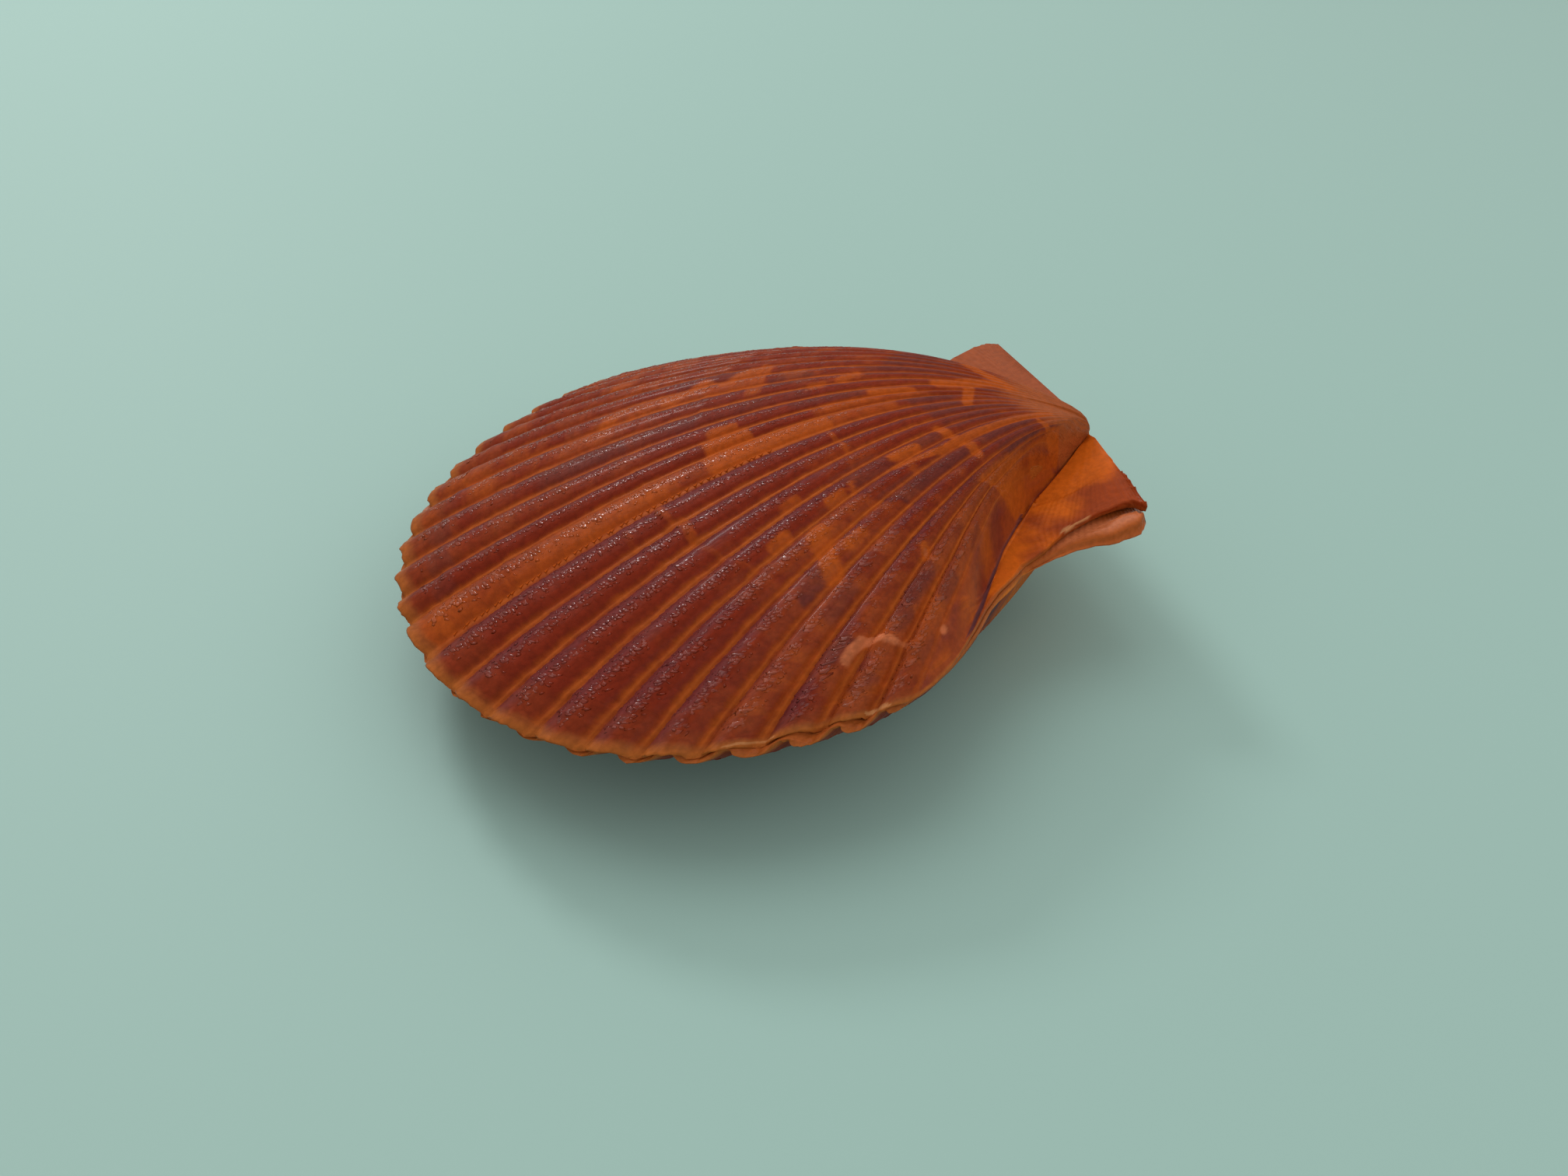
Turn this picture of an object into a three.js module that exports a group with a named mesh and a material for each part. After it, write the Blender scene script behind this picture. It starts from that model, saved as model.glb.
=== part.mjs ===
// The two valves of a fan-shaped scallop, closed, lying on the belly of the right valve.
// Lengths are in millimetres and angles in degrees.
// A valve is drawn on the plane where the two meet. "along" runs from the beak to the far margin,
// "across" runs along the hinge towards the long ears, and "rise" leaves the plane on the outside.

import * as THREE from 'three';

// Plan of the fan, the same for both valves
const shellHeight = 75;
const shortSideWidth = 34.7;
const longSideWidth = 37.8;
const shortSideWidest = 43.5;
const longSideWidest = 40;
const endRoundness = 20.5;
const sideRoundness = 18.8;
const shoulderRoundness = 10;
const flankGuide = [28.3, 32.4];
const sulcusAngle = 49.5; // the dome ends here and the ears begin

// Profile. A bigger cross power makes the dome fuller towards its sides.
const crossPower = 3;
const wall = 1.4;
const edgeThickness = 0.3;
const valveGap = 0.3;
const lipBevel = 0.35;
const bevelPower = 6;
const beakOverhang = 0.9;
const beakReach = 0.03;
const hingeRidge = 1.5;
const hingeRidgeWidth = 4;
const shortHingeReach = 16;
const longHingeReach = 28;
const earThickness = 0.8;
const earStart = 0.12;
const shortEarLift = 0.35;

// Ribs, counted outwards from the middle groove of the left valve
const ribStep = 4.297;
const ribCrowding = 0.00387;
const ribbedTurns = 12.5;
const fullRibTurns = 9.5;
const ribHeight = 1;
const waveHeight = 0.85;
const lobeLength = 0.3;
const lobePower = 4;
const shoulderHeight = 0.8;

// The inner surface hollows out each valve between the umbo and the lip
const hollowStart = 0.08;
const hollowAngle = 46;
const innerWaveStart = 0.7;

// Ligament along the hinge line
const ligamentThickness = 0.24;
const ligamentWidth = 1.1;
const ligamentInset = 0.15;
const ligamentSteps = 8;
const hingeClearance = 0.3;
const hingeClearanceWidth = 3;

// How the shell lies: the margin is lower than the beak, and the long ears lower than the short
const pitch = 4.04;
const lean = 1.57;
const crestWear = 0.12;

// Growth stages and columns of the mesh
const outerStages = [0.012, 0.035, 0.07, 0.12, 0.19, 0.28, 0.38, 0.43, 0.52, 0.62, 0.72, 0.81, 0.9, 1];
const innerStages = [0.08, 0.16, 0.28, 0.44, 0.62, 0.8, 0.92, 1];
const flankColumns = 3;
const outlineSteps = 80;

// A lower dome power moves the highest place towards the beak, and slant lowers the long side.
// Free edges of the ears as [along, across], from the notch at the fan to the hinge tip.
const leftValve = {
  name: 'left_valve',
  side: 1,
  ribShift: 0,
  domeHeight: 12.1,
  domePower: 1,
  slant: 0,
  shortEar: [[15.8, 18.3], [12.4, 16.6], [8.6, 14.2], [4.8, 12.9], [1, 12.6], [0, 14.3]],
  longEar: [[15.8, 18.3], [11.5, 22.2], [6.2, 25.2], [2.7, 26.9], [1, 27.1], [0, 26]],
  colour: 0x8a3a1e,
};
const rightValve = {
  name: 'right_valve',
  side: -1,
  ribShift: 0.5,
  domeHeight: 12.55,
  domePower: 0.93,
  slant: 0.0022,
  shortEar: [[15.8, 18.3], [12.4, 17], [8.2, 16.2], [4.6, 16.6], [1.6, 16.2], [0, 14.3]],
  longEar: [[10.6, 13.2], [9.6, 17], [8.9, 21], [6.8, 25.2], [2.6, 26.8], [0, 26]],
  colour: 0x7a2a18,
};

const radians = THREE.MathUtils.degToRad;
const smooth = THREE.MathUtils.smoothstep;

// Angle at the beak of a place that is counted in ribs from the middle
function ribAngle(turns) {
  return ribStep * turns - ribCrowding * turns ** 3;
}

// Outline of the fan on one side, from the middle of the far margin to the notch
function fanOutline(across, widest, width, notch) {
  const at = (a, b) => new THREE.Vector2(a, across * b);
  const far = new THREE.CubicBezierCurve(
    at(shellHeight, 0),
    at(shellHeight, endRoundness),
    at(widest + sideRoundness, width),
    at(widest, width),
  );
  const flank = new THREE.CubicBezierCurve(
    at(widest, width),
    at(widest - shoulderRoundness, width),
    at(...flankGuide),
    at(...notch),
  );
  return [...far.getPoints(outlineSteps), ...flank.getPoints(outlineSteps).slice(1)];
}

// The first place on an outline where a falling or rising measure reaches a value
function placeWhere(outline, measure, value) {
  for (let i = 1; i < outline.length; i++) {
    const before = measure(outline[i - 1]) - value;
    const after = measure(outline[i]) - value;
    if (before * after <= 0 && before !== after) {
      return outline[i - 1].clone().lerp(outline[i], before / (before - after));
    }
  }
  return outline[outline.length - 1].clone();
}

const angleOf = (place) => THREE.MathUtils.radToDeg(Math.atan2(Math.abs(place.y), place.x));

// Half of a valve's columns, from the middle to the hinge tip
function halfColumns(across, widest, width, ear) {
  const outline = fanOutline(across, widest, width, ear[0]);
  const columns = [];
  for (let quarter = 0; quarter <= ribbedTurns * 4; quarter++) {
    const turns = quarter / 4;
    const margin = placeWhere(outline, angleOf, ribAngle(turns));
    columns.push({ margin, turns: across * turns, flank: 0, ear: 0 });
  }
  const lastRadius = columns[columns.length - 1].margin.length();
  const notchRadius = Math.hypot(...ear[0]);
  const flank = outline.filter((place) => place.length() <= lastRadius && place.x < widest);
  for (let step = 1; step <= flankColumns; step++) {
    const share = step / (flankColumns + 1);
    const radius = THREE.MathUtils.lerp(lastRadius, notchRadius, share);
    const margin = placeWhere(flank, (place) => place.length(), radius);
    columns.push({ margin, turns: across * ribbedTurns, flank: share, ear: 0 });
  }
  const edge = ear.map(([along, out]) => new THREE.Vector2(along, across * out));
  edge.forEach((margin, i) => {
    const share = across * i / (edge.length - 1);
    columns.push({ margin, turns: across * ribbedTurns, flank: 1, ear: share });
  });
  return columns;
}

// Columns of a valve, from the tip of the short ear round the fan to the tip of the long ear
function columnsOf(valve) {
  const short = halfColumns(-1, shortSideWidest, shortSideWidth, valve.shortEar);
  const long = halfColumns(1, longSideWidest, longSideWidth, valve.longEar);
  return [...short.reverse(), ...long.slice(1)];
}

// Height of the dome on its way from the beak to the margin: 1 at its highest
function domeAt(valve, stage) {
  if (stage <= 0 || stage >= 1) return 0;
  return -Math.E * valve.domePower * stage ** valve.domePower * Math.log(stage);
}

// Height of the dome on its way from the middle to the ears: 1 in the middle
function crossAt(angle, edge) {
  return Math.sqrt(Math.max(0, 1 - (angle / edge) ** crossPower));
}

// How far the ribs stand out at this column, fading towards the ears
function ribFade(column) {
  return 1 - smooth(Math.abs(column.turns), fullRibTurns, ribbedTurns);
}

// Flat-topped rib with a narrow groove: 0 in the groove, 1 on the crest
function ribShape(turns) {
  const phase = turns - Math.floor(turns);
  const fromGroove = 2 * Math.min(phase, 1 - phase);
  return fromGroove < 0.5 ? shoulderHeight * 2 * fromGroove
    : THREE.MathUtils.lerp(shoulderHeight, 1, 2 * fromGroove - 1);
}

// Wave along the lip that locks the two valves together
function lipWave(valve, column) {
  const phase = 2 * Math.PI * (column.turns - valve.ribShift);
  return -0.5 * waveHeight * Math.cos(phase) * ribFade(column);
}

// The short ears of both valves bend up a little towards the hinge tip
function liftAt(share) {
  return shortEarLift * Math.min(0, share) ** 2;
}

// Thickness of the lip, growing to that of the ears' plates
function edgeAt(column, stage) {
  return edgeThickness + (earThickness - edgeThickness) * column.flank * smooth(stage, 0, earStart);
}

// Low ridge along the hinge line, falling towards both tips
function hingeRise(plan) {
  const reach = plan.y < 0 ? shortHingeReach : longHingeReach;
  return hingeRidge * Math.exp(-plan.x / hingeRidgeWidth) * Math.max(0, 1 - Math.abs(plan.y) / reach);
}

// Dome of a surface that is this high at its highest
function domeRise(valve, height, stage, cross, plan) {
  return height * domeAt(valve, stage) * cross * (1 - valve.slant * plan.y);
}

function outerPoint(valve, column, stage) {
  const rib = (ribShape(column.turns - valve.ribShift) - 0.5) * ribFade(column);
  const lobe = lobeLength * rib * stage ** lobePower / column.margin.length();
  const plan = column.margin.clone().multiplyScalar(stage * (1 + lobe));
  const cross = crossAt(angleOf(column.margin), sulcusAngle);
  const overhang = beakOverhang * cross * (stage / beakReach) * Math.exp(1 - stage / beakReach);
  const rise = valveGap / 2 + edgeAt(column, stage) + hingeRise(plan)
    + domeRise(valve, valve.domeHeight, stage, cross, plan) + ribHeight * stage * rib;
  const lift = liftAt(stage * column.ear);
  return new THREE.Vector3(overhang - plan.x, plan.y, valve.side * rise + lift);
}

function innerPoint(valve, column, stage) {
  const bevel = lipBevel * stage ** bevelPower / column.margin.length();
  const plan = column.margin.clone().multiplyScalar(stage * (1 - bevel));
  const cross = crossAt(angleOf(column.margin), hollowAngle);
  const hollowStage = (stage - hollowStart) / (1 - hollowStart);
  const clearance = hingeClearance * Math.exp(-((plan.x / hingeClearanceWidth) ** 2));
  const hollow = domeRise(valve, valve.domeHeight - wall, hollowStage, cross, plan);
  const rise = valveGap / 2 + clearance + hollow
    + lipWave(valve, column) * smooth(stage, innerWaveStart, 1);
  const lift = liftAt(stage * column.ear);
  return new THREE.Vector3(-plan.x, plan.y, valve.side * rise + lift);
}

// Sheet of triangles fanning out from the beak. Its rim runs from the beak down the first column,
// along the margin and back up the last column, each vertex with its place from 0 to 3.
function sheet(points, triangles, columns, stages, pointAt, outward) {
  const beak = points.push(pointAt(columns[0], 0)) - 1;
  const rows = stages.map((stage) => (
    columns.map((column) => points.push(pointAt(column, stage)) - 1)
  ));
  const add = (a, b, c) => triangles.push(outward ? [a, b, c] : [a, c, b]);
  for (let j = 1; j < columns.length; j++) {
    add(beak, rows[0][j], rows[0][j - 1]);
    for (let i = 1; i < rows.length; i++) {
      add(rows[i - 1][j - 1], rows[i - 1][j], rows[i][j]);
      add(rows[i - 1][j - 1], rows[i][j], rows[i][j - 1]);
    }
  }
  const last = columns.length - 1;
  const down = rows.map((row, i) => ({ vertex: row[0], place: stages[i] }));
  const margin = rows[rows.length - 1].slice(1, last).map((vertex, i) => (
    { vertex, place: 1 + columns[i + 1].order }
  ));
  const up = rows.map((row, i) => ({ vertex: row[last], place: 3 - stages[i] })).reverse();
  return [{ vertex: beak, place: 0 }, ...down, ...margin, ...up, { vertex: beak, place: 3 }];
}

// Close the space between the rims of two sheets
function joinRims(triangles, outer, inner) {
  let i = 0;
  let j = 0;
  while (i < outer.length - 1 || j < inner.length - 1) {
    const nextOuter = i < outer.length - 1 ? outer[i + 1].place : Infinity;
    const nextInner = j < inner.length - 1 ? inner[j + 1].place : Infinity;
    if (nextOuter <= nextInner) {
      triangles.push([outer[i].vertex, outer[i + 1].vertex, inner[j].vertex]);
      i++;
    } else {
      triangles.push([outer[i].vertex, inner[j + 1].vertex, inner[j].vertex]);
      j++;
    }
  }
}

const restAngles = new THREE.Euler(radians(-lean), radians(-pitch), 0);
const restTurn = new THREE.Quaternion().setFromEuler(restAngles);
const upInShell = new THREE.Vector3(0, 0, 1).applyQuaternion(restTurn.clone().invert());

// Wear the lowest rib crests to the flat on which the shell rests
function wearCrests(points) {
  const lowest = Math.min(...points.map((point) => point.dot(upInShell)));
  for (const point of points) {
    const below = lowest + crestWear - point.dot(upInShell);
    if (below > 0) point.addScaledVector(upInShell, below);
  }
}

function solidOf(points, triangles) {
  const numbers = points.flatMap((point) => point.toArray());
  const geometry = new THREE.BufferGeometry();
  geometry.setAttribute('position', new THREE.Float32BufferAttribute(numbers, 3));
  geometry.setIndex(triangles.flat());
  geometry.computeVertexNormals();
  return geometry;
}

function makeValve(valve) {
  const columns = columnsOf(valve);
  columns.forEach((column, i) => {
    column.order = i / (columns.length - 1);
  });
  const innerColumns = columns.filter((column, i) => i % 2 === 0);
  const points = [];
  const triangles = [];
  const outerRim = sheet(points, triangles, columns, outerStages,
    (column, stage) => outerPoint(valve, column, stage), true);
  const innerRim = sheet(points, triangles, innerColumns, innerStages,
    (column, stage) => innerPoint(valve, column, stage), false);
  joinRims(triangles, outerRim, innerRim);
  if (valve.side < 0) {
    triangles.forEach((corners) => corners.reverse());
    wearCrests(points);
  }
  const material = new THREE.MeshStandardMaterial({ color: valve.colour, roughness: 0.45, metalness: 0 });
  const mesh = new THREE.Mesh(solidOf(points, triangles), material);
  mesh.name = valve.name;
  return mesh;
}

// Dried ligament: a thin strip between the two hinge plates, bent like them, from tip to tip
function makeLigament() {
  const shortTip = leftValve.shortEar[leftValve.shortEar.length - 1][1];
  const longTip = leftValve.longEar[leftValve.longEar.length - 1][1];
  const length = shortTip + longTip - 2 * ligamentInset;
  const geometry = new THREE.BoxGeometry(ligamentWidth, length, ligamentThickness, 1, ligamentSteps, 1);
  geometry.translate(-ligamentWidth / 2, (longTip - shortTip) / 2, 0);
  const place = geometry.getAttribute('position');
  for (let i = 0; i < place.count; i++) {
    place.setZ(i, place.getZ(i) + liftAt(place.getY(i) / shortTip));
  }
  const material = new THREE.MeshStandardMaterial({ color: 0x3a2012, roughness: 0.6, metalness: 0 });
  const mesh = new THREE.Mesh(geometry, material);
  mesh.name = 'ligament';
  return mesh;
}

const group = new THREE.Group();
group.add(makeValve(leftValve), makeValve(rightValve), makeLigament());
group.quaternion.copy(restTurn);
group.updateMatrixWorld(true);

// The origin is on the surface below the middle of the shell
const box = new THREE.Box3().setFromObject(group, true);
const middle = box.getCenter(new THREE.Vector3());
group.position.set(-middle.x, -middle.y, -box.min.z);

export default group;
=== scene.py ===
import math
import time

import bpy
import numpy as np
from mathutils import Matrix, Vector


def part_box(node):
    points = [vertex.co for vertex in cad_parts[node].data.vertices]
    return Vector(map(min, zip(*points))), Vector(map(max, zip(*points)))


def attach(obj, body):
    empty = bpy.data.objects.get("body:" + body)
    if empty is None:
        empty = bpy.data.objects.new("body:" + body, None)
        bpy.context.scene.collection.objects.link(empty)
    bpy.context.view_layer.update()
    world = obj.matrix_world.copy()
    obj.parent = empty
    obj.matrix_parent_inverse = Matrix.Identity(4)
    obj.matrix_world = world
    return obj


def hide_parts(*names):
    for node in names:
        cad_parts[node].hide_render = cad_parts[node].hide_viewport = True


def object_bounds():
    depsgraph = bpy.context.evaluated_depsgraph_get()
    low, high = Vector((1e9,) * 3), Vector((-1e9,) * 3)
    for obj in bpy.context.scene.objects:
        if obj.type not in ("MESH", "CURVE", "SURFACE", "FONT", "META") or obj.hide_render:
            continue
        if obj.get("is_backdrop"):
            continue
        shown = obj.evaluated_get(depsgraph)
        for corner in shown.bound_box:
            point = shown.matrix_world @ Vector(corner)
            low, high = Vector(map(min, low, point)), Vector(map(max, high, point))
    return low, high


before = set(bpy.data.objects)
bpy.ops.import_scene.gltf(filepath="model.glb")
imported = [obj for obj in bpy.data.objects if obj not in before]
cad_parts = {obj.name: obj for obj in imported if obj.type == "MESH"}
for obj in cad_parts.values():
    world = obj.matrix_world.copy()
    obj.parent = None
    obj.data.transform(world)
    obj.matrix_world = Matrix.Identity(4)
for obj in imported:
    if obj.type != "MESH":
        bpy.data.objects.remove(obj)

# Lengths in the dictionaries are millimetres and angles degrees; the meshes are in metres.
# A place on a valve is given by "turns", counted in ribs from the middle, and by "stage",
# the growth from 0 at the beak to 1 at the margin.

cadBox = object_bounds()
begun = time.time()
millimetre = 0.001
noiseTable = 256


def report(text):
    print(f"{time.time() - begun:6.1f} s  {text}")


def ease(value, low, high):  # 0 below low, 1 above high
    share = np.clip((value - low) / (high - low), 0, 1)
    return share * share * (3 - 2 * share)


def rising(value, name):
    return ease(value, *softSteps[name])


def atLeast(least, share):  # from least to 1
    return least + (1 - least) * share


def bump(value, middle, width):  # 1 in the middle, soft on both sides
    return np.exp(-(((value - middle) / width) ** 2))


def softNoise(x, y, seed):  # smooth, from -1 to 1, one wave a unit
    chance = np.random.default_rng(seed).uniform(-1, 1, (noiseTable, noiseTable))
    column, row = np.floor(x).astype(int), np.floor(y).astype(int)
    right, down = ease(x - column, 0, 1), ease(y - row, 0, 1)
    corner = lambda i, j: chance[(row + j) % noiseTable, (column + i) % noiseTable]
    above = corner(0, 0) * (1 - right) + corner(1, 0) * right
    below = corner(0, 1) * (1 - right) + corner(1, 1) * right
    return above * (1 - down) + below * down


# The fan, as in the solids

fan = {
    "height": 75,
    "shortSide": {"width": 34.7, "widest": 43.5},
    "longSide": {"width": 37.8, "widest": 40},
    "endRoundness": 20.5,
    "sideRoundness": 18.8,
    "shoulderRoundness": 10,
    "flankGuide": (28.3, 32.4),
    "crossPower": 3,
    "wall": 1.4,
    "edgeThickness": 0.3,
    "valveGap": 0.3,
    "lipGap": 0.03,          # the worn lips almost touch
    "lipBevel": 0.35,
    "beakOverhang": 0.9,
    "beakReach": 0.03,
    "hingeRidgeWidth": 4,
    "hingeReach": (16, 28),
    "earThickness": 0.8,
    "earStart": 0.12,
    "earCurve": 0.35,        # how tightly the ears' edges follow their points
    "shortEarLift": 0.35,
    "dish": (0.76, 0.12),    # the lower short ear's hollow: stage of its middle, and width
    "hollowStart": 0.08,
    "hollowAngle": 46,
    "lipStart": 0.97,        # the lips are solid from here
    "innerWaveStart": 0.7,
    "waveHeight": 0.85,
    "hingeClearance": 0.15,
    "hingeClearanceWidth": 3,
    "outerRounding": 0.3,    # of the lip's corners, as shares of its thickness
    "innerRounding": 0.18,
    "pitch": 4.04,
    "lean": 1.57,
}

ribs = {
    "step": 4.297,
    "crowding": 0.00387,
    "lastTurn": 12.5,
    "fullTurn": 11.3,
    "height": 1.0,
    "crest": 0.93,           # the scales stand on this share of the rib's height
    "floor": 0.2,            # half of the groove's share of a rib
    "roundness": 2.1,
    "steepness": 0.75,
    "ribletHeight": 0.07,
    "ribletWidth": 0.09,
    "lobeLength": 0.8,
    "lobeStart": 0.12,
    "faintUntil": 0.22,      # the ribs start this far from the beak
    "farWear": 0.25,         # share of the height that is worn off the far half
    "lipWear": 0.12,
    "columns": (0, 0.08, 0.16, 0.22, 0.29, 0.38, 0.5, 0.65, 0.82, 1),   # from groove to crest
}

lowRelief = {                # height in mm, and waves in a turn, in the stage or across an ear
    "uneven": 0.1,           # share by which the ribs' height wanders
    "rough": (0.05, 2.2, 40),
    "earRiblets": (0.012, 44),
    "earLines": (0.005, 150),
    "barbs": (0.3, 42, 3),   # along the short ear's hinge edge
    "ripple": (0.14, 3.1, 40),       # how far the lip is worn back
    "chips": (0.3, 7.3, 70),
}

softSteps = {                # where a form starts and is whole
    "flankAngles": (34, 47), "flankEar": (0, 0.45), "flankStages": (0.8, 1), "flankLengths": (25, 32),
    "earGap": (0.3, 0.6), "earGapEnd": (0.88, 0.98), "lipGap": (0.85, 1),
    "farHalf": (-2, 14), "lipWear": (0.93, 1), "ribStart": (0.02, ribs["faintUntil"]),
    "earFoot": (0.02, 0.12), "earHinge": (0.85, 0.97), "earRiblets": (0.1, 0.3), "earLines": (0.25, 0.5),
    "barbs": (0.12, 0.3), "barbEdge": (0.92, 0.99), "layerAngles": (-42, -37),
    "swell": (-0.2, 1), "swellMore": (0.5, 0.7), "dishFoot": (0.05, 0.25), "dishHinge": (0.85, 1),
    "hingeClearance": (0.8, 0.97), "innerWave": (fan["innerWaveStart"], 1), "waveEnd": (11, ribs["lastTurn"]),
}

mesh = {
    "flankColumns": 12,
    "earColumns": 28,
    "earlyStages": (0.006, 0.014, 0.025, 0.04, 0.055),
    "growthStages": (0.07, 1, 164),
    "growthEnd": 0.985,
    "lipStages": (0.988, 0.9925, 0.996, 0.9985, 1),
    "innerStages": (0.08, 0.16, 0.28, 0.44, 0.6, 0.7, 0.76, 0.8, 0.84, 0.87, 0.9, 0.92,
                    0.94, 0.955, 0.968, 0.98, 0.989, 0.995, 1),
}

leftValve = {
    "name": "left_valve_shell",
    "side": 1,
    "shift": 0,
    "sulcus": (48.3, 49.5),  # angles where the fan meets the short and the long ear
    "flankShift": ((0, 0), (6, 1), (12, 2), (22, 2), (27, 1.4), (32, 0.7), (37, 0.2), (41, -0.3), (46, -0.7)),
    "foot": 1.2,             # mm over which the short flank levels out
    "hingeRidge": (1.9, 2.4),
    "domeHeight": 11.91,     # with room for the scales under the solid's crests
    "domePower": 1,
    "slant": 0,
    "shortEar": ((15.8, 18.3), (12.4, 16.6), (8.6, 14.2), (4.8, 12.9), (1, 12.6), (0, 14.3)),
    "longEar": ((15.8, 18.3), (11.5, 22.2), (6.2, 25.2), (2.7, 26.9), (1, 27.1), (0, 26)),
    "drift": (0.85, -1.2, 0.8),                # one broad rib: degrees, turns, width in turns
    "setBack": ((1.7, -40, 5), (0.55, 21, 12), (0.05, 0, 90)),     # worn lip: mm, angle, width
    "earDish": 0,
    "rollWidth": 0.5,
    "rollDrop": 0.1,
    "swell": 0,
    "seed": 11,
}

rightValve = {
    "name": "right_valve_shell",
    "side": -1,
    "shift": 0.5,
    "sulcus": (49.5, 49.5),
    "flankShift": ((0, 0), (6, 0.5), (12, 1.2), (28, 1.1), (34, 0.4), (40, 0)),
    "foot": 0.05,
    "hingeRidge": (1.5, 1.5),
    "domeHeight": 12.38,
    "domePower": 0.93,
    "slant": 0.0022,
    "shortEar": ((15.8, 18.3), (12.4, 17), (8.2, 16.2), (4.6, 16.6), (1.6, 16.2), (0, 14.3)),
    "longEar": ((10.6, 13.2), (9.6, 17), (8.9, 21), (6.8, 25.2), (2.6, 26.8), (0, 26)),
    "drift": (0, 0, 1),
    "setBack": ((0.15, 0, 90), (0.45, -14, 20)),
    "earDish": 0.1,
    "rollWidth": 1.4,
    "rollDrop": 0.6,
    "swell": 0.36,
    "seed": 12,
}


def ribAngle(valve, turns):
    size, place, width = valve["drift"]
    return ribs["step"] * turns - ribs["crowding"] * turns**3 + size * bump(turns, place, width)


def bezier(points, steps=400):
    a, b, c, d = (np.array(point, float) for point in points)
    t = np.linspace(0, 1, steps)[:, None]
    return (1 - t) ** 3 * a + 3 * (1 - t) ** 2 * t * b + 3 * (1 - t) * t**2 * c + t**3 * d


def halfOutline(half, notch):  # from the far margin to the notch
    width, widest = half["width"], half["widest"]
    far = bezier(((fan["height"], 0), (fan["height"], fan["endRoundness"]),
                  (widest + fan["sideRoundness"], width), (widest, width)))
    shoulder = (widest - fan["shoulderRoundness"], width)
    flank = bezier(((widest, width), shoulder, fan["flankGuide"], notch))
    return np.concatenate([far, flank[1:]])


def fanOutline(valve):  # from notch to notch
    short = halfOutline(fan["shortSide"], valve["shortEar"][0]) * (1, -1)
    long = halfOutline(fan["longSide"], valve["longEar"][0])
    return np.concatenate([short[::-1], long[1:]])


def curveThrough(points, count):  # smooth curve through an ear's points
    points = np.array(points, float)
    ends = np.concatenate([[2 * points[0] - points[1]], points, [2 * points[-1] - points[-2]]])
    place = np.linspace(0, len(points) - 1, count)
    i = np.minimum(place.astype(int), len(points) - 2)
    t = (place - i)[:, None]
    a, b, c, d = ends[i], ends[i + 1], ends[i + 2], ends[i + 3]
    tension = fan["earCurve"]
    return (b + tension * (c - a) * t + (3 * (c - b) - tension * (2 * (c - a) + (d - b))) * t**2
            + (2 * (b - c) + tension * ((c - a) + (d - b))) * t**3)


def angles(points):
    return np.degrees(np.arctan2(points[..., 1], points[..., 0]))


def between(wanted, known, points):  # points at the wanted places of a line
    return np.stack([np.interp(wanted, known, points[:, k]) for k in (0, 1)], -1)


def ribbedColumns(valve, turns):  # columns at any turns of the fan
    outline = fanOutline(valve)
    wanted = ribAngle(valve, turns)
    zero = np.zeros_like(wanted)
    return {"margin": between(wanted, angles(outline), outline), "turns": turns + zero, "flank": zero,
            "ear": zero}


def sideColumns(valve, across):  # flank and ear of one side
    points = valve["shortEar"] if across < 0 else valve["longEar"]
    outline = fanOutline(valve)[::across]
    lastTurn = across * ribs["lastTurn"]
    flank = outline[angles(outline) * across > ribAngle(valve, lastTurn) * across]
    length = np.concatenate([[0], np.cumsum(np.linalg.norm(np.diff(flank, axis=0), axis=1))])
    share = np.arange(1, mesh["flankColumns"] + 1) / (mesh["flankColumns"] + 1)
    flank = between(share * length[-1], length, flank)
    ear = curveThrough(points, mesh["earColumns"]) * (1, across)
    return {
        "margin": np.concatenate([flank, ear]),
        "turns": np.full(len(flank) + len(ear), lastTurn),
        "flank": np.concatenate([share, np.ones(len(ear))]),
        "ear": np.concatenate([np.zeros(len(flank)), across * np.linspace(0, 1, mesh["earColumns"])]),
    }


def valveColumns(valve):
    half = np.array(ribs["columns"]) / 2
    lastGroove = math.ceil(ribs["lastTurn"])
    grooves = np.arange(-lastGroove, lastGroove + 1) + valve["shift"]
    turns = np.unique(np.round(np.concatenate([grooves[:, None] - half, grooves[:, None] + half]), 6))
    turns = turns[np.abs(turns) <= ribs["lastTurn"] + 1e-6]
    middle = ribbedColumns(valve, turns)
    short, long = sideColumns(valve, -1), sideColumns(valve, 1)
    return {key: np.concatenate([short[key][::-1], middle[key], long[key]]) for key in middle}


def pick(columns, chosen):
    return {key: value[chosen] for key, value in columns.items()}


def angleOf(columns):
    return angles(columns["margin"])


def marginLength(columns):
    return np.linalg.norm(columns["margin"], axis=-1)


def domeAt(valve, stage):
    inside = np.clip(stage, 1e-9, 1)
    power = valve["domePower"]
    return -math.e * power * inside**power * np.log(inside)


def flankShift(valve, columns, stage):  # turns the short flank towards the middle
    length = marginLength(columns)
    size = np.interp(stage * length, *zip(*valve["flankShift"]))
    near = rising(-angleOf(columns), "flankAngles") * (1 - rising(-columns["ear"], "flankEar"))
    near = near * (1 - rising(stage, "flankStages") * (1 - rising(length, "flankLengths")))
    outward = columns["margin"] / length[..., None]
    return (size * near)[..., None] * np.stack([-outward[..., 1], outward[..., 0]], -1)


def crossAt(angle, edge, foot=0.001):  # 1 in the middle, 0 at the edge
    share = np.abs(angle) / edge
    rounded = np.sqrt(np.maximum(0, 1 - share ** fan["crossPower"]))
    return rounded * ease((1 - share) / foot, 0, 1)


def ribFade(columns):
    return 1 - ease(np.abs(columns["turns"]), ribs["fullTurn"], ribs["lastTurn"])


def fromGroove(valve, turns):  # 0 in a groove, 1 on a crest
    phase = np.mod(turns - valve["shift"], 1)
    return 2 * np.minimum(phase, 1 - phase)


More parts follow.
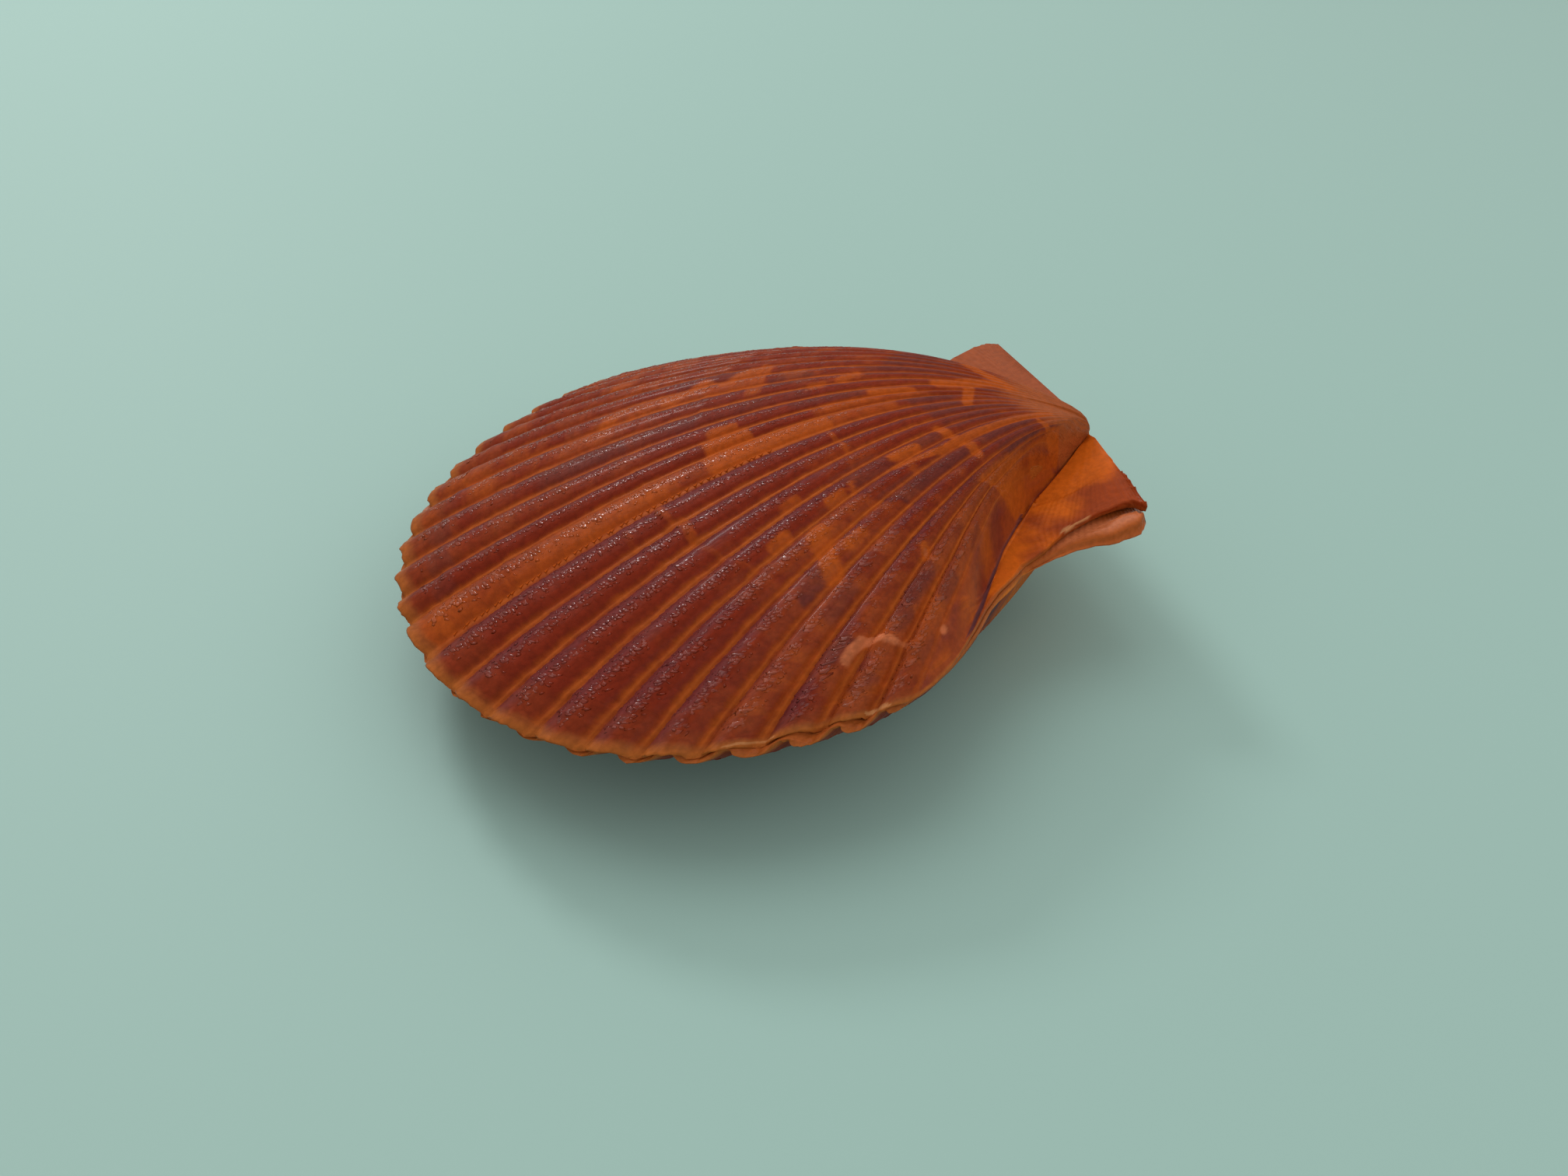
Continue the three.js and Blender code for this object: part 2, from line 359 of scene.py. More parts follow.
def ribHeight(valve, columns):  # from half a rib below to half a rib above, 0 on the ears
    across = fromGroove(valve, columns["turns"])
    up = np.clip((across - ribs["floor"]) / (1 - ribs["floor"]), 0, 1)
    crown = (1 - (1 - up) ** ribs["roundness"]) ** ribs["steepness"]
    profile = ribs["crest"] * crown + ribs["ribletHeight"] * bump(across, 0, ribs["ribletWidth"])
    return (profile - 0.5) * ribFade(columns)


def liftAt(share):
    return fan["shortEarLift"] * np.minimum(0, share) ** 2


def halfGap(columns, stage):
    inEar = rising(stage, "earGap") * (1 - rising(np.abs(columns["ear"]), "earGapEnd")) * columns["flank"]
    closing = np.maximum(rising(stage, "lipGap") * (1 - columns["flank"]), inEar)
    return (fan["valveGap"] + (fan["lipGap"] - fan["valveGap"]) * closing) / 2


def edgeAt(columns, stage):
    extra = (fan["earThickness"] - fan["edgeThickness"]) * columns["flank"]
    return fan["edgeThickness"] + extra * ease(stage, 0, fan["earStart"])


def setBack(valve, columns, stage):  # share by which the lip is worn back
    angle = angleOf(columns)
    worn = sum(size * bump(angle, place, width) for size, place, width in valve["setBack"])
    for step, name in enumerate(("ripple", "chips")):
        size, count, earCount = lowRelief[name]
        across = columns["ear"] * earCount + 5 + 4 * step
        worn = worn + np.abs(size * softNoise(columns["turns"] * count, across, valve["seed"] + step))
    return worn * stage**9 / marginLength(columns)


def marginAt(valve, angle):  # the outline's point at some angle
    columns = valveColumns(valve)
    order = np.argsort(angleOf(columns))
    return between(angle, angleOf(columns)[order], columns["margin"][order])


def stroke(valve, columns, stage, points, width, soft=0.6):  # soft line through (angle, stage) places
    here = columns["margin"] * stage[..., None]
    nearest = np.full(here.shape[:-1], np.inf)
    line = [marginAt(valve, angle) * share for angle, share in points]
    for start, end in zip(line, line[1:]):
        along = end - start
        share = np.clip(((here - start) @ along) / (along @ along), 0, 1)
        nearest = np.minimum(nearest, np.linalg.norm(here - start - share[..., None] * along, axis=-1))
    return 1 - ease(nearest, width * (1 - soft), width * (1 + soft))


# Ledges where growth stopped for a while: stage, first and last angle, height in mm, ramp
growthSteps = {
    1: (
        (0.672, -17.5, -8.2, 0.22, 0.03),
        (0.683, -27, -17.5, 0.1, 0.02),
        (0.662, -8, 2, 0.08, 0.02),
        (0.722, -22, -8.2, 0.1, 0.015),
        (0.33, -36, -8, 0.07, 0.02),
        (0.79, -49, -44.5, 0.2, 0.04),
        (0.86, -30, 30, 0.06, 0.02),
        (0.935, -47, 46, 0.1, 0.02),
        (0.56, 4, 40, 0.08, 0.02),
        (0.965, -47, 46, 0.08, 0.012),
    ),
    -1: (
        (0.62, -46, 46, 0.1, 0.03),
        (0.8, -46, 20, 0.08, 0.02),
        (0.9, -46, 46, 0.12, 0.03),
        (0.955, -46, 46, 0.1, 0.015),
    ),
}


def ledges(valve, angle, stage):
    height = np.zeros(np.broadcast(angle, stage).shape)
    for place, first, last, size, ramp in growthSteps[valve["side"]]:
        across = ease(angle, first, first + 1) * (1 - ease(angle, last - 1, last))
        wavy = place + 0.004 * softNoise(angle * 0.4, 0 * angle + place * 60, valve["seed"] + 5)
        rise = ease(stage, wavy - ramp, wavy) * (1 - ease(stage, wavy, wavy + 0.003))
        height = height + size * across * rise
    return height


# Healed breaks of the left valve near the lip: points as (angle, stage), half width and height
scarRidges = (
    (((-38.5, 0.885), (-38.5, 0.84), (-38.8, 0.82), (-40, 0.822), (-41.3, 0.832), (-42.8, 0.85)), 0.62, 0.42),
    (((-45.3, 0.832), (-45.2, 0.846)), 0.6, 0.2),
    (((-46.2, 0.775), (-46.9, 0.8), (-47.6, 0.84), (-48.2, 0.92)), 0.6, 0.16),
)

# A thick layer that starts part way down its short flank: where, as (angle, stage), and height
flankLayer = {
    "start": ((-50, 0.6), (-48.1, 0.47), (-47.5, 0.39), (-45.9, 0.39), (-44.4, 0.418), (-42.8, 0.412),
              (-36, 0.42)),
    "height": 0.32,
}


def layerAndScar(valve, columns, stage):
    if valve["side"] < 0:
        return 0 * stage
    angle = angleOf(columns)
    start = np.interp(angle, *zip(*flankLayer["start"]))
    fading = 1 - ease(stage, start + 0.02, start + 0.3)
    height = flankLayer["height"] * ease(stage, start - 0.006, start + 0.006) * fading
    height = height * (1 - rising(angle, "layerAngles"))
    for points, width, size in scarRidges:
        height = height + size * stroke(valve, columns, stage, points, width, 0.9)
    return height


def relief(valve, columns, stage):  # mm on top of the smooth dome
    angle, turns, seed = angleOf(columns), columns["turns"], valve["seed"]
    worn = 1 - ribs["farWear"] * rising(angle, "farHalf")
    height = ribs["height"] * worn * stage * ribHeight(valve, columns)
    height = height * (1 + lowRelief["uneven"] * softNoise(turns * 1.3 + 40, stage * 9, seed + 2))
    height = height * (1 - ribs["lipWear"] * rising(stage, "lipWear")) * rising(stage, "ribStart")
    size, count, stageCount = lowRelief["rough"]
    height = height + size * softNoise(turns * count, stage * stageCount, seed + 3) * stage * ribFade(columns)
    height = height + (ledges(valve, angle, stage) + layerAndScar(valve, columns, stage))
    flat = np.abs(columns["ear"])
    inEar = rising(flat, "earFoot")
    size, count = lowRelief["earRiblets"]
    riblets = size * np.cos(flat * count) * inEar * (1 - rising(flat, "earHinge"))
    height = height + riblets * rising(stage, "earRiblets")
    size, count = lowRelief["earLines"]
    height = height + size * np.cos(stage * count + flat * 2) * inEar * rising(stage, "earLines")
    size, count, earCount = lowRelief["barbs"]
    barbs = np.maximum(0, softNoise(stage * count, flat * earCount, seed + 7)) * rising(stage, "barbs")
    return height + size * barbs * rising(-columns["ear"], "barbEdge")


def hingeRise(valve, plan):
    height = np.where(plan[..., 1] < 0, *valve["hingeRidge"])
    reach = np.where(plan[..., 1] < 0, *fan["hingeReach"])
    along = np.exp(-plan[..., 0] / fan["hingeRidgeWidth"])
    return height * along * np.maximum(0, 1 - np.abs(plan[..., 1]) / reach)


def roundEdge(columns, stage, radius):  # how far a lip's corner is rounded off
    inward = np.clip((1 - stage) * marginLength(columns), 0, radius)
    return radius - np.sqrt(np.maximum(0, radius**2 - (radius - inward) ** 2))


def earRoll(valve, columns, stage):  # the lower short ear's rolled rim
    inward = np.clip(1 - (1 - stage) * marginLength(columns) / valve["rollWidth"], 0, 1)
    drop = valve["rollDrop"] * (1 - np.sqrt(1 - inward**2))
    return drop * rising(-columns["ear"], "earFoot")


def earSwell(valve, columns, stage):  # fills the space under the other ear's rim
    other = pick(sideColumns(leftValve, -1), slice(mesh["flankColumns"], None))
    share = np.abs(columns["ear"])
    beyond = stage * marginLength(columns) - np.interp(share, -other["ear"], marginLength(other))
    size = valve["swell"] * (1 + 1.2 * rising(share, "swellMore"))
    return size * rising(beyond, "swell") * rising(-columns["ear"], "earFoot")


def planAt(valve, columns, stage, longer):  # places seen from above
    share = stage * (1 + longer / marginLength(columns) - setBack(valve, columns, stage))
    return columns["margin"] * share[..., None] + flankShift(valve, columns, stage)


def outerPoint(valve, columns, stage):
    angle, length = angleOf(columns), marginLength(columns)
    lobe = ribs["lobeLength"] * (ribHeight(valve, columns) - ribs["lobeStart"]) * stage**4
    plan = planAt(valve, columns, stage, lobe)
    edge = np.where(angle < 0, *valve["sulcus"])
    foot = np.where(angle < 0, valve["foot"], 0.05) / np.maximum(stage * length, 3)
    cross = crossAt(angle, edge, np.degrees(foot) / edge)
    early = stage / fan["beakReach"]
    overhang = fan["beakOverhang"] * cross * early * np.exp(1 - early)
    edge = edgeAt(columns, stage)
    dome = valve["domeHeight"] * domeAt(valve, stage) * cross * (1 - valve["slant"] * plan[..., 1])
    rise = (halfGap(columns, stage) + edge + hingeRise(valve, plan) + dome + relief(valve, columns, stage)
            - roundEdge(columns, stage, fan["outerRounding"] * edge))
    lift = liftAt(stage * columns["ear"])
    return np.stack([overhang - plan[..., 0], plan[..., 1], valve["side"] * rise + lift], -1)


def innerPoint(valve, columns, stage):
    angle, length = angleOf(columns), marginLength(columns)
    plan = planAt(valve, columns, stage, -fan["lipBevel"] * stage**6)
    foot = np.degrees(valve["foot"] / np.maximum(stage * length, 8))
    cross = crossAt(angle, fan["hollowAngle"] - np.where(angle < 0, 0.6 * foot, 0))
    start = fan["hollowStart"]
    height = valve["domeHeight"] - fan["wall"]
    hollow = height * domeAt(valve, np.minimum(1, (stage - start) / (fan["lipStart"] - start))) * cross
    hollow = np.where(stage <= start, 0, hollow * (1 - valve["slant"] * plan[..., 1]))
    clearance = fan["hingeClearance"] * (1 - rising(stage, "hingeClearance"))
    clearance = clearance * bump(plan[..., 0], 0, fan["hingeClearanceWidth"])
    wave = np.cos(2 * math.pi * (columns["turns"] - valve["shift"]))
    wave = wave * (1 - rising(np.abs(columns["turns"]), "waveEnd"))
    lip = -0.5 * fan["waveHeight"] * wave * rising(stage, "innerWave")
    dish = valve["earDish"] * bump(stage, *fan["dish"]) * rising(-columns["ear"], "dishFoot")
    dish = dish * (1 - rising(-columns["ear"], "dishHinge")) + earRoll(valve, columns, stage)
    dish = dish - earSwell(valve, columns, stage)
    edge = roundEdge(columns, stage, fan["innerRounding"] * edgeAt(columns, stage))
    rise = halfGap(columns, stage) + clearance + hollow + lip + dish + edge
    lift = liftAt(stage * columns["ear"])
    return np.stack([-plan[..., 0], plan[..., 1], valve["side"] * rise + lift], -1)


# From the shell's own frame to the model's: the ligament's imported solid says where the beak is

ligament = {
    "thickness": 0.24,
    "width": 1.1,
    "inset": 0.15,
    "taper": 2.4,
    "tip": 0.08,             # share of the width that is left there
    "shorter": 0.9,          # than the solid at both ends
    "steps": 160,
    "sides": 12,
    "fibres": 0.03,
}

turned = Matrix.Rotation(math.radians(-fan["lean"]), 3, "X")
turned = np.array(turned @ Matrix.Rotation(math.radians(-fan["pitch"]), 3, "Y"))


def ligamentLine(steps):  # middle line of the strip
    shortTip, longTip = leftValve["shortEar"][-1][1], leftValve["longEar"][-1][1]
    across = np.linspace(ligament["inset"] - shortTip, longTip - ligament["inset"], steps)
    return np.stack([0 * across - ligament["width"] / 2, across, liftAt(across / shortTip)], -1)


def boxMiddle(points):
    return (points.min(0) + points.max(0)) / 2


def findBeak():
    half = np.array([ligament["width"], 0, ligament["thickness"]]) / 2
    corners = np.array([[i, 0, j] for i in (-1, 1) for j in (-1, 1)]) * half
    solid = (ligamentLine(9)[:, None] + corners).reshape(-1, 3) @ turned.T
    return boxMiddle(np.array(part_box("ligament"))) - boxMiddle(solid) * millimetre


beak = findBeak()
report(f"beak at {np.round(beak / millimetre, 2)} mm")


def toModel(points):
    placed = points @ turned.T * millimetre + beak
    return np.clip(placed, *np.array(cadBox))                  # the solids' box is the limit


# Meshes

def makePiece(name, points, faces, attributes, replaced=(), smooth=None):
    data = bpy.data.meshes.new(name)
    data.vertices.add(len(points))
    data.vertices.foreach_set("co", toModel(points).astype(np.float32).ravel())
    corners = np.concatenate([part.ravel() for part in faces])
    sizes = np.concatenate([np.full(len(part), part.shape[1]) for part in faces])
    data.loops.add(len(corners))
    data.loops.foreach_set("vertex_index", corners.astype(np.int32))
    data.polygons.add(len(sizes))
    data.polygons.foreach_set("loop_start", (np.cumsum(sizes) - sizes).astype(np.int32))
    data.polygons.foreach_set("use_smooth", np.full(len(sizes), True) if smooth is None else smooth)
    data.update(calc_edges=True)
    data.validate()
    for key, values in attributes.items():
        made = data.attributes.new(key, "FLOAT", "POINT")
        made.data.foreach_set("value", values.astype(np.float32).ravel())
    piece = bpy.data.objects.new(name, data)
    bpy.context.scene.collection.objects.link(piece)
    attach(piece, "root")
    if replaced:
        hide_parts(*replaced)
    report(f"{name}: {int((sizes - 2).sum())} triangles")
    return piece


def gridFaces(index, outward):  # quads of a sheet
    a, b, c, d = index[:-1, :-1], index[:-1, 1:], index[1:, 1:], index[1:, :-1]
    order = (a, b, c, d) if outward else (a, d, c, b)
    return np.stack(order, -1).reshape(-1, 4)


def rimOf(index, stages, places):  # beak, first column, margin, last column
    beakIndex = index[0, 0] - 1
    down = list(zip(index[:, 0], stages))
    margin = list(zip(index[-1, 1:-1], 1 + places[1:-1]))
    up = list(zip(index[:, -1], 3 - stages))[::-1]
    return [(beakIndex, 0), *down, *margin, *up, (beakIndex, 3)]


def joinRims(outer, inner):
    triangles = []
    i = j = 0
    while i < len(outer) - 1 or j < len(inner) - 1:
        nextOuter = outer[i + 1][1] if i < len(outer) - 1 else math.inf
        nextInner = inner[j + 1][1] if j < len(inner) - 1 else math.inf
        if nextOuter <= nextInner:
            triangles.append((outer[i][0], outer[i + 1][0], inner[j][0]))
            i += 1
        else:
            triangles.append((outer[i][0], inner[j + 1][0], inner[j][0]))
            j += 1
    return np.array(triangles)


def spread(columns, stages):  # columns and stages as a grid
    grid = {key: value[None] for key, value in columns.items()}
    return grid, np.asarray(stages, float)[:, None] + 0 * grid["turns"]


# Markings, given as (angle, stage) and measured in mm along the fan

def patch(angle, stage, first, last, top, bottom, soft=1.0):  # soft-edged block of ribs
    soft = soft * np.maximum(1, 0.45 / np.maximum(stage, 0.1))
    across = ease(angle, first - soft, first + soft) * (1 - ease(angle, last - soft, last + soft))
    down = 0.008 * soft
    return across * ease(stage, top - down, top + down) * (1 - ease(stage, bottom - down, bottom + down))


orangeStrokes = (            # points, half width in mm, strength
    (((38, 0.21), (30, 0.2), (23, 0.167), (15.6, 0.133), (10.3, 0.121)), 0.8, 0.95),
    (((4.6, 0.225), (4.9, 0.201), (8.2, 0.173), (11, 0.14)), 1, 0.85),
    (((3, 0.182), (-11.5, 0.212)), 0.6, 0.9),
    (((-25.4, 0.104), (-27.5, 0.144), (-27.8, 0.258), (-27.4, 0.3), (-27.7, 0.36), (-25.5, 0.43)), 0.42, 0.8),
    (((-42.5, 0.138), (-40.6, 0.167), (-32, 0.156)), 0.45, 0.8),
    (((-33, 0.338), (-30.3, 0.322), (-26, 0.316), (-21.5, 0.308)), 0.65, 0.9),
    (((-23.8, 0.372), (-23.3, 0.41)), 0.6, 0.9),
    (((-28, 0.42), (-25, 0.4)), 0.7, 0.6),
    (((-25, 0.5), (-23.5, 0.49)), 0.4, 0.7),
    (((-32, 0.67), (-27, 0.6)), 1.2, 0.9),
    (((-39.3, 0.625), (-38.6, 0.605)), 0.55, 0.9),
    (((-16.5, 0.672), (-13, 0.655)), 0.7, 0.62),
    (((-17, 0.672), (-8.5, 0.668)), 0.6, 0.5),
    (((-25, 0.684), (-17.5, 0.68)), 0.5, 0.45),
    (((-12, 0.722), (-10.6, 0.718)), 0.6, 0.5),
    (((-17, 0.43), (-10, 0.42)), 0.4, 0.6),
    (((14.9, 0.6), (14.7, 0.58)), 0.7, 0.7),
    (((14.5, 0.7), (14.5, 0.68)), 0.8, 0.7),
    (((18.3, 0.515), (18.3, 0.49)), 0.7, 0.7),
    (((1.1, 0.55), (1.1, 0.52)), 0.7, 0.7),
    (((-6.6, 0.67), (-6.6, 0.64)), 0.9, 0.7),
    (((-24.2, 0.64), (-24.2, 0.615)), 0.7, 0.7),
    (((-20.4, 0.57), (-20.4, 0.55)), 0.7, 0.6),
    (((-30.9, 0.61), (-30.9, 0.58)), 0.8, 0.7),
    (((-24, 0.535), (-24, 0.51)), 0.6, 0.7),
    (((-39, 0.405), (-42.4, 0.41), (-44.4, 0.415), (-45.9, 0.387), (-47.4, 0.382), (-47.9, 0.44)),
     0.42, 0.85),
    (((-46.2, 0.775), (-46.9, 0.8), (-47.5, 0.84), (-47.8, 0.9)), 0.4, 0.7),
    (((38, 0.3), (44, 0.45), (46, 0.7)), 1, 0.6),
    (((14.2, 0.615), (17, 0.57)), 1.2, 0.95),
    (((15.5, 0.535), (20, 0.49)), 1.1, 0.9),
    (((13.2, 0.71), (15.2, 0.685)), 0.9, 0.8),
    (((1.6, 0.32), (0.8, 0.27)), 0.8, 0.8),
    (((9.5, 0.36), (12, 0.34)), 0.7, 0.7),
)

orangePatches = (            # first and last angle, first and last stage, strength
    (-8.2, -3.5, 0.3, 0.4, 0.6),
    (-8.2, -3.5, 0.4, 0.58, 0.9),
    (-3.5, 1, 0.24, 0.42, 0.6),
    (-5.5, 0.5, 0.5, 0.57, 0.8),
    (-8.2, -3.5, 0.58, 1.0, 0.62),
    (6, 10, 0.38, 0.41, 0.7),
    (9, 20, 0.47, 0.5, 0.7),
    (12.3, 16.8, 0.47, 0.72, 0.6),
    (12.3, 16.8, 0.72, 1, 0.45),
    (8.5, 12.3, 0.66, 1, 0.42),
    (1, 34, 0.18, 0.5, 0.3),
    (20, 46, 0.5, 0.95, 0.4),
    (-48, -38, 0.16, 0.42, 0.6),
    (-38, -14, 0.28, 0.5, 0.34),
    (-34, -26, 0.5, 0.72, 0.42),
    (-48, -34, 0.5, 0.95, 0.42),
)

darkPatches = (
    (10.5, 16, 0.175, 0.33, 0.8),
    (16, 34, 0.205, 0.31, 0.85),
    (34, 44, 0.23, 0.31, 0.8),
    (-1, 7, 0.112, 0.172, 0.7),
    (-9, -2.5, 0.085, 0.178, 0.6),
    (-9.5, -3.2, 0.213, 0.29, 0.85),
    (-13.6, -9.6, 0.218, 0.285, 0.9),
    (-18.5, -13.8, 0.12, 0.29, 0.85),
    (-23.5, -18.8, 0.19, 0.295, 0.8),
    (-33.5, -24.5, 0.165, 0.305, 0.95),
    (-42, -34, 0.19, 0.31, 0.75),
    (-33, -28, 0.335, 0.5, 0.9),
    (-26, -21.5, 0.322, 0.368, 0.8),
    (-26, -20, 0.412, 0.5, 0.6),
    (-42, -34, 0.115, 0.15, 0.55),
    (3, 9, 0.4, 0.66, 0.5),
    (16, 22, 0.5, 0.62, 0.6),
    (-4, 12, 0.92, 0.96, 0.5),
    (2.5, 8.5, 0.66, 0.8, 0.6),
    (10, 14.5, 0.4, 0.47, 0.7),
    (0.5, 5, 0.33, 0.44, 0.6),
    (12, 17, 0.74, 0.8, 0.45),
    (10, 13, 0.52, 0.6, 0.5),
)

darkStrokes = (
    (((-31.4, 0.668), (-31.7, 0.72)), 0.95, 0.9),
    (((-40.4, 0.655), (-40.2, 0.72)), 0.8, 0.9),
    (((-37.7, 0.82), (-37.2, 0.85)), 0.8, 0.9),
    (((-40.8, 0.755), (-40.4, 0.79)), 0.7, 0.85),
    (((-41, 0.905), (-40.2, 0.93)), 0.6, 0.7),
    (((-34.8, 0.7), (-34.8, 0.76)), 0.7, 0.6),
    (((-44.6, 0.56), (-45.2, 0.62)), 0.6, 0.6),
    (((-43.8, 0.68), (-43.6, 0.73)), 0.6, 0.6),
    (((-46.6, 0.5), (-46.9, 0.58)), 0.7, 0.6),
    (((-46.3, 0.64), (-46.2, 0.7)), 0.6, 0.5),
    (((-46.9, 0.7), (-47.5, 0.78)), 0.8, 0.6),
    (((-44.9, 0.86), (-44.6, 0.9)), 0.7, 0.5),
)

paleStrokes = (
    (((-38.4, 0.865), (-38.4, 0.84), (-38.7, 0.82)), 0.3, 0.8),
    (((-38.7, 0.82), (-40, 0.822), (-41.3, 0.832)), 0.34, 0.9),
    (((-41.3, 0.832), (-42.4, 0.845)), 0.3, 0.5),
    (((-45.3, 0.834), (-45.2, 0.842)), 0.3, 0.7),
    (((-39.0, 0.618), (-38.8, 0.61)), 0.25, 0.5),
)

warmPatches = (              # redder, lighter ribs
    (-50, -37, 0.3, 1.1, 0.8),
    (-37, -30, 0.55, 1.1, 0.6),
    (-30, -24, 0.5, 0.75, 0.55),
    (-24, -20, 0.6, 0.85, 0.3),
    (-1, 60, 0.62, 1.1, 0.45),
    (8, 60, 0.3, 0.62, 0.35),
    (24, 60, -0.1, 1.1, 0.4),
)

creamStrokes = (
    (((-43.4, 0.99), (-41.8, 0.993)), 0.24, 0.6),
    (((-36.8, 0.994), (-34.2, 0.996)), 0.16, 0.6),
    (((-57.2, 0.985), (-58.2, 0.975)), 0.32, 1),
    (((-58.2, 0.98), (-61, 0.985), (-66, 0.992)), 0.12, 0.8),
)

# dark blue-purple line along the crease where the fan meets its short ear: partly purple pigment, partly
# painted shade and painted cool reflection
creaseShadeStrokes = (
    (((-47.5, 0.4), (-47.9, 0.46), (-48.1, 0.54), (-48.15, 0.7)), 0.14, 0.6),
    (((-48.15, 0.7), (-48.1, 0.86), (-47.9, 0.96)), 0.2, 0.8),
)

# the same painted shade on the lower valve's flank where the valves meet, partly purple pigment
rightCreaseShadeStrokes = (
    (((-48, 0.74), (-48.3, 0.82), (-49, 0.9)), 0.9, 0.8),
)


def strokes(valve, columns, stage, rows):
    mask = 0 * stage
    for points, width, strength in rows:
        mask = np.maximum(mask, strength * stroke(valve, columns, stage, points, width))
    return mask


def patches(angle, stage, rows, soft):
    mask = 0 * angle * stage
    for *block, strength in rows:
        mask = np.maximum(mask, strength * patch(angle, stage, *block, soft))
    return mask


def leftMarkings(valve, columns, stage):
    filled = lambda rows, soft: patches(angleOf(columns), stage, rows, soft)
    drawn = lambda rows: strokes(valve, columns, stage, rows)
    return {
        "orange": np.maximum(filled(orangePatches, 0.8), drawn(orangeStrokes)),
        "dark": np.maximum(filled(darkPatches, 1), drawn(darkStrokes)),
        "pale": drawn(paleStrokes),
        "warm": filled(warmPatches, 3),
        "cream": drawn(creamStrokes),
        "blue": drawn(creaseShadeStrokes),
    }


def rightMarkings(valve, columns, stage):
    angle = angleOf(columns)
    # lighter orange towards the beak: partly the lower valve's own tone, partly painted bounce light
    umboToneAndBounceLight = 1 - ease(stage + 0.006 * (angle + 49), 0.35, 0.75)
    middle = 1 - ease(np.abs(angle + 5), 25, 42)
    return {
        "orange": 0.75 * umboToneAndBounceLight,
        # painted shadow: the lower valve darkens across the middle of its growth
        "dark": ease(stage, 0.5, 0.75) * (1 - ease(stage, 0.88, 0.95)) * middle,
        "pale": 0 * umboToneAndBounceLight,
        "warm": 0.3 + 0 * umboToneAndBounceLight,
        "cream": 0 * umboToneAndBounceLight,
        "blue": strokes(valve, columns, stage, rightCreaseShadeStrokes),
    }


def attributesOf(valve, columns, stage):
    angle = angleOf(columns) + 0 * stage
    markings = leftMarkings if valve["side"] > 0 else rightMarkings
    return {
        "turns": columns["turns"] - valve["shift"] + 0 * stage,
        "stage": stage,
        "angle": angle,
        "ear": np.maximum(np.abs(columns["ear"]), 0.06 * ease(-angle, 48.2, 48.6)),
        "ribbed": ribFade(columns) + 0 * stage,
        "inside": 0 * stage,
        **markings(valve, columns, stage),
    }


def makeValve(valve, node):
    columns = valveColumns(valve)
    places = np.linspace(0, 1, len(columns["turns"]))
    growth = np.linspace(*mesh["growthStages"])
    stages = [mesh["earlyStages"], growth[growth < mesh["growthEnd"]], mesh["lipStages"]]
    stages = np.concatenate(stages)
    second = slice(None, None, 2)      # the inner sheet has every second column
    points, attributes, faces, rims, start = [], [], [], [], 0
    for sheet, sheetStages, sheetPlaces, place, inside in (
        (columns, stages, places, outerPoint, 0),
        (pick(columns, second), np.array(mesh["innerStages"]), places[second], innerPoint, 1),
    ):
        grid, stage = spread(sheet, sheetStages)
        for part, partStage in ((pick(sheet, slice(0, 1)), np.zeros(1)), (grid, stage)):
            points.append(place(valve, part, partStage).reshape(-1, 3))
            values = attributesOf(valve, part, partStage)
            values["inside"] = values["inside"] + inside
            attributes.append({key: value.ravel() for key, value in values.items()})
        index = start + 1 + np.arange(stage.size).reshape(stage.shape)
        faces.append(gridFaces(index, not inside))
        fanned = np.stack([0 * index[0, 1:] + start, index[0, :-1], index[0, 1:]], -1)
        faces.append(fanned if inside else fanned[:, ::-1])
        rims.append(rimOf(index, sheetStages, sheetPlaces))
        start = index[-1, -1] + 1
    faces.append(joinRims(*rims))
    if valve["side"] < 0:
        faces = [part[:, ::-1] for part in faces]
    merged = {key: np.concatenate([group[key] for group in attributes]) for key in attributes[0]}
    count = sum(map(len, faces))
    smooth = np.arange(count) < count - len(faces[-1])         # the rim stays sharp
    return makePiece(valve["name"], np.concatenate(points), faces, merged, (node,), smooth)


leftShell = makeValve(leftValve, "left_valve")
rightShell = makeValve(rightValve, "right_valve")


# Scales: low overlapping plates along the crests, finer grains beside them, curved ridges across
# the nearest ribs, and teeth that fringe the grooves. A kind's rows are in turns from the crest,
# its pitch, length, height and bow in mm, its width in turns.

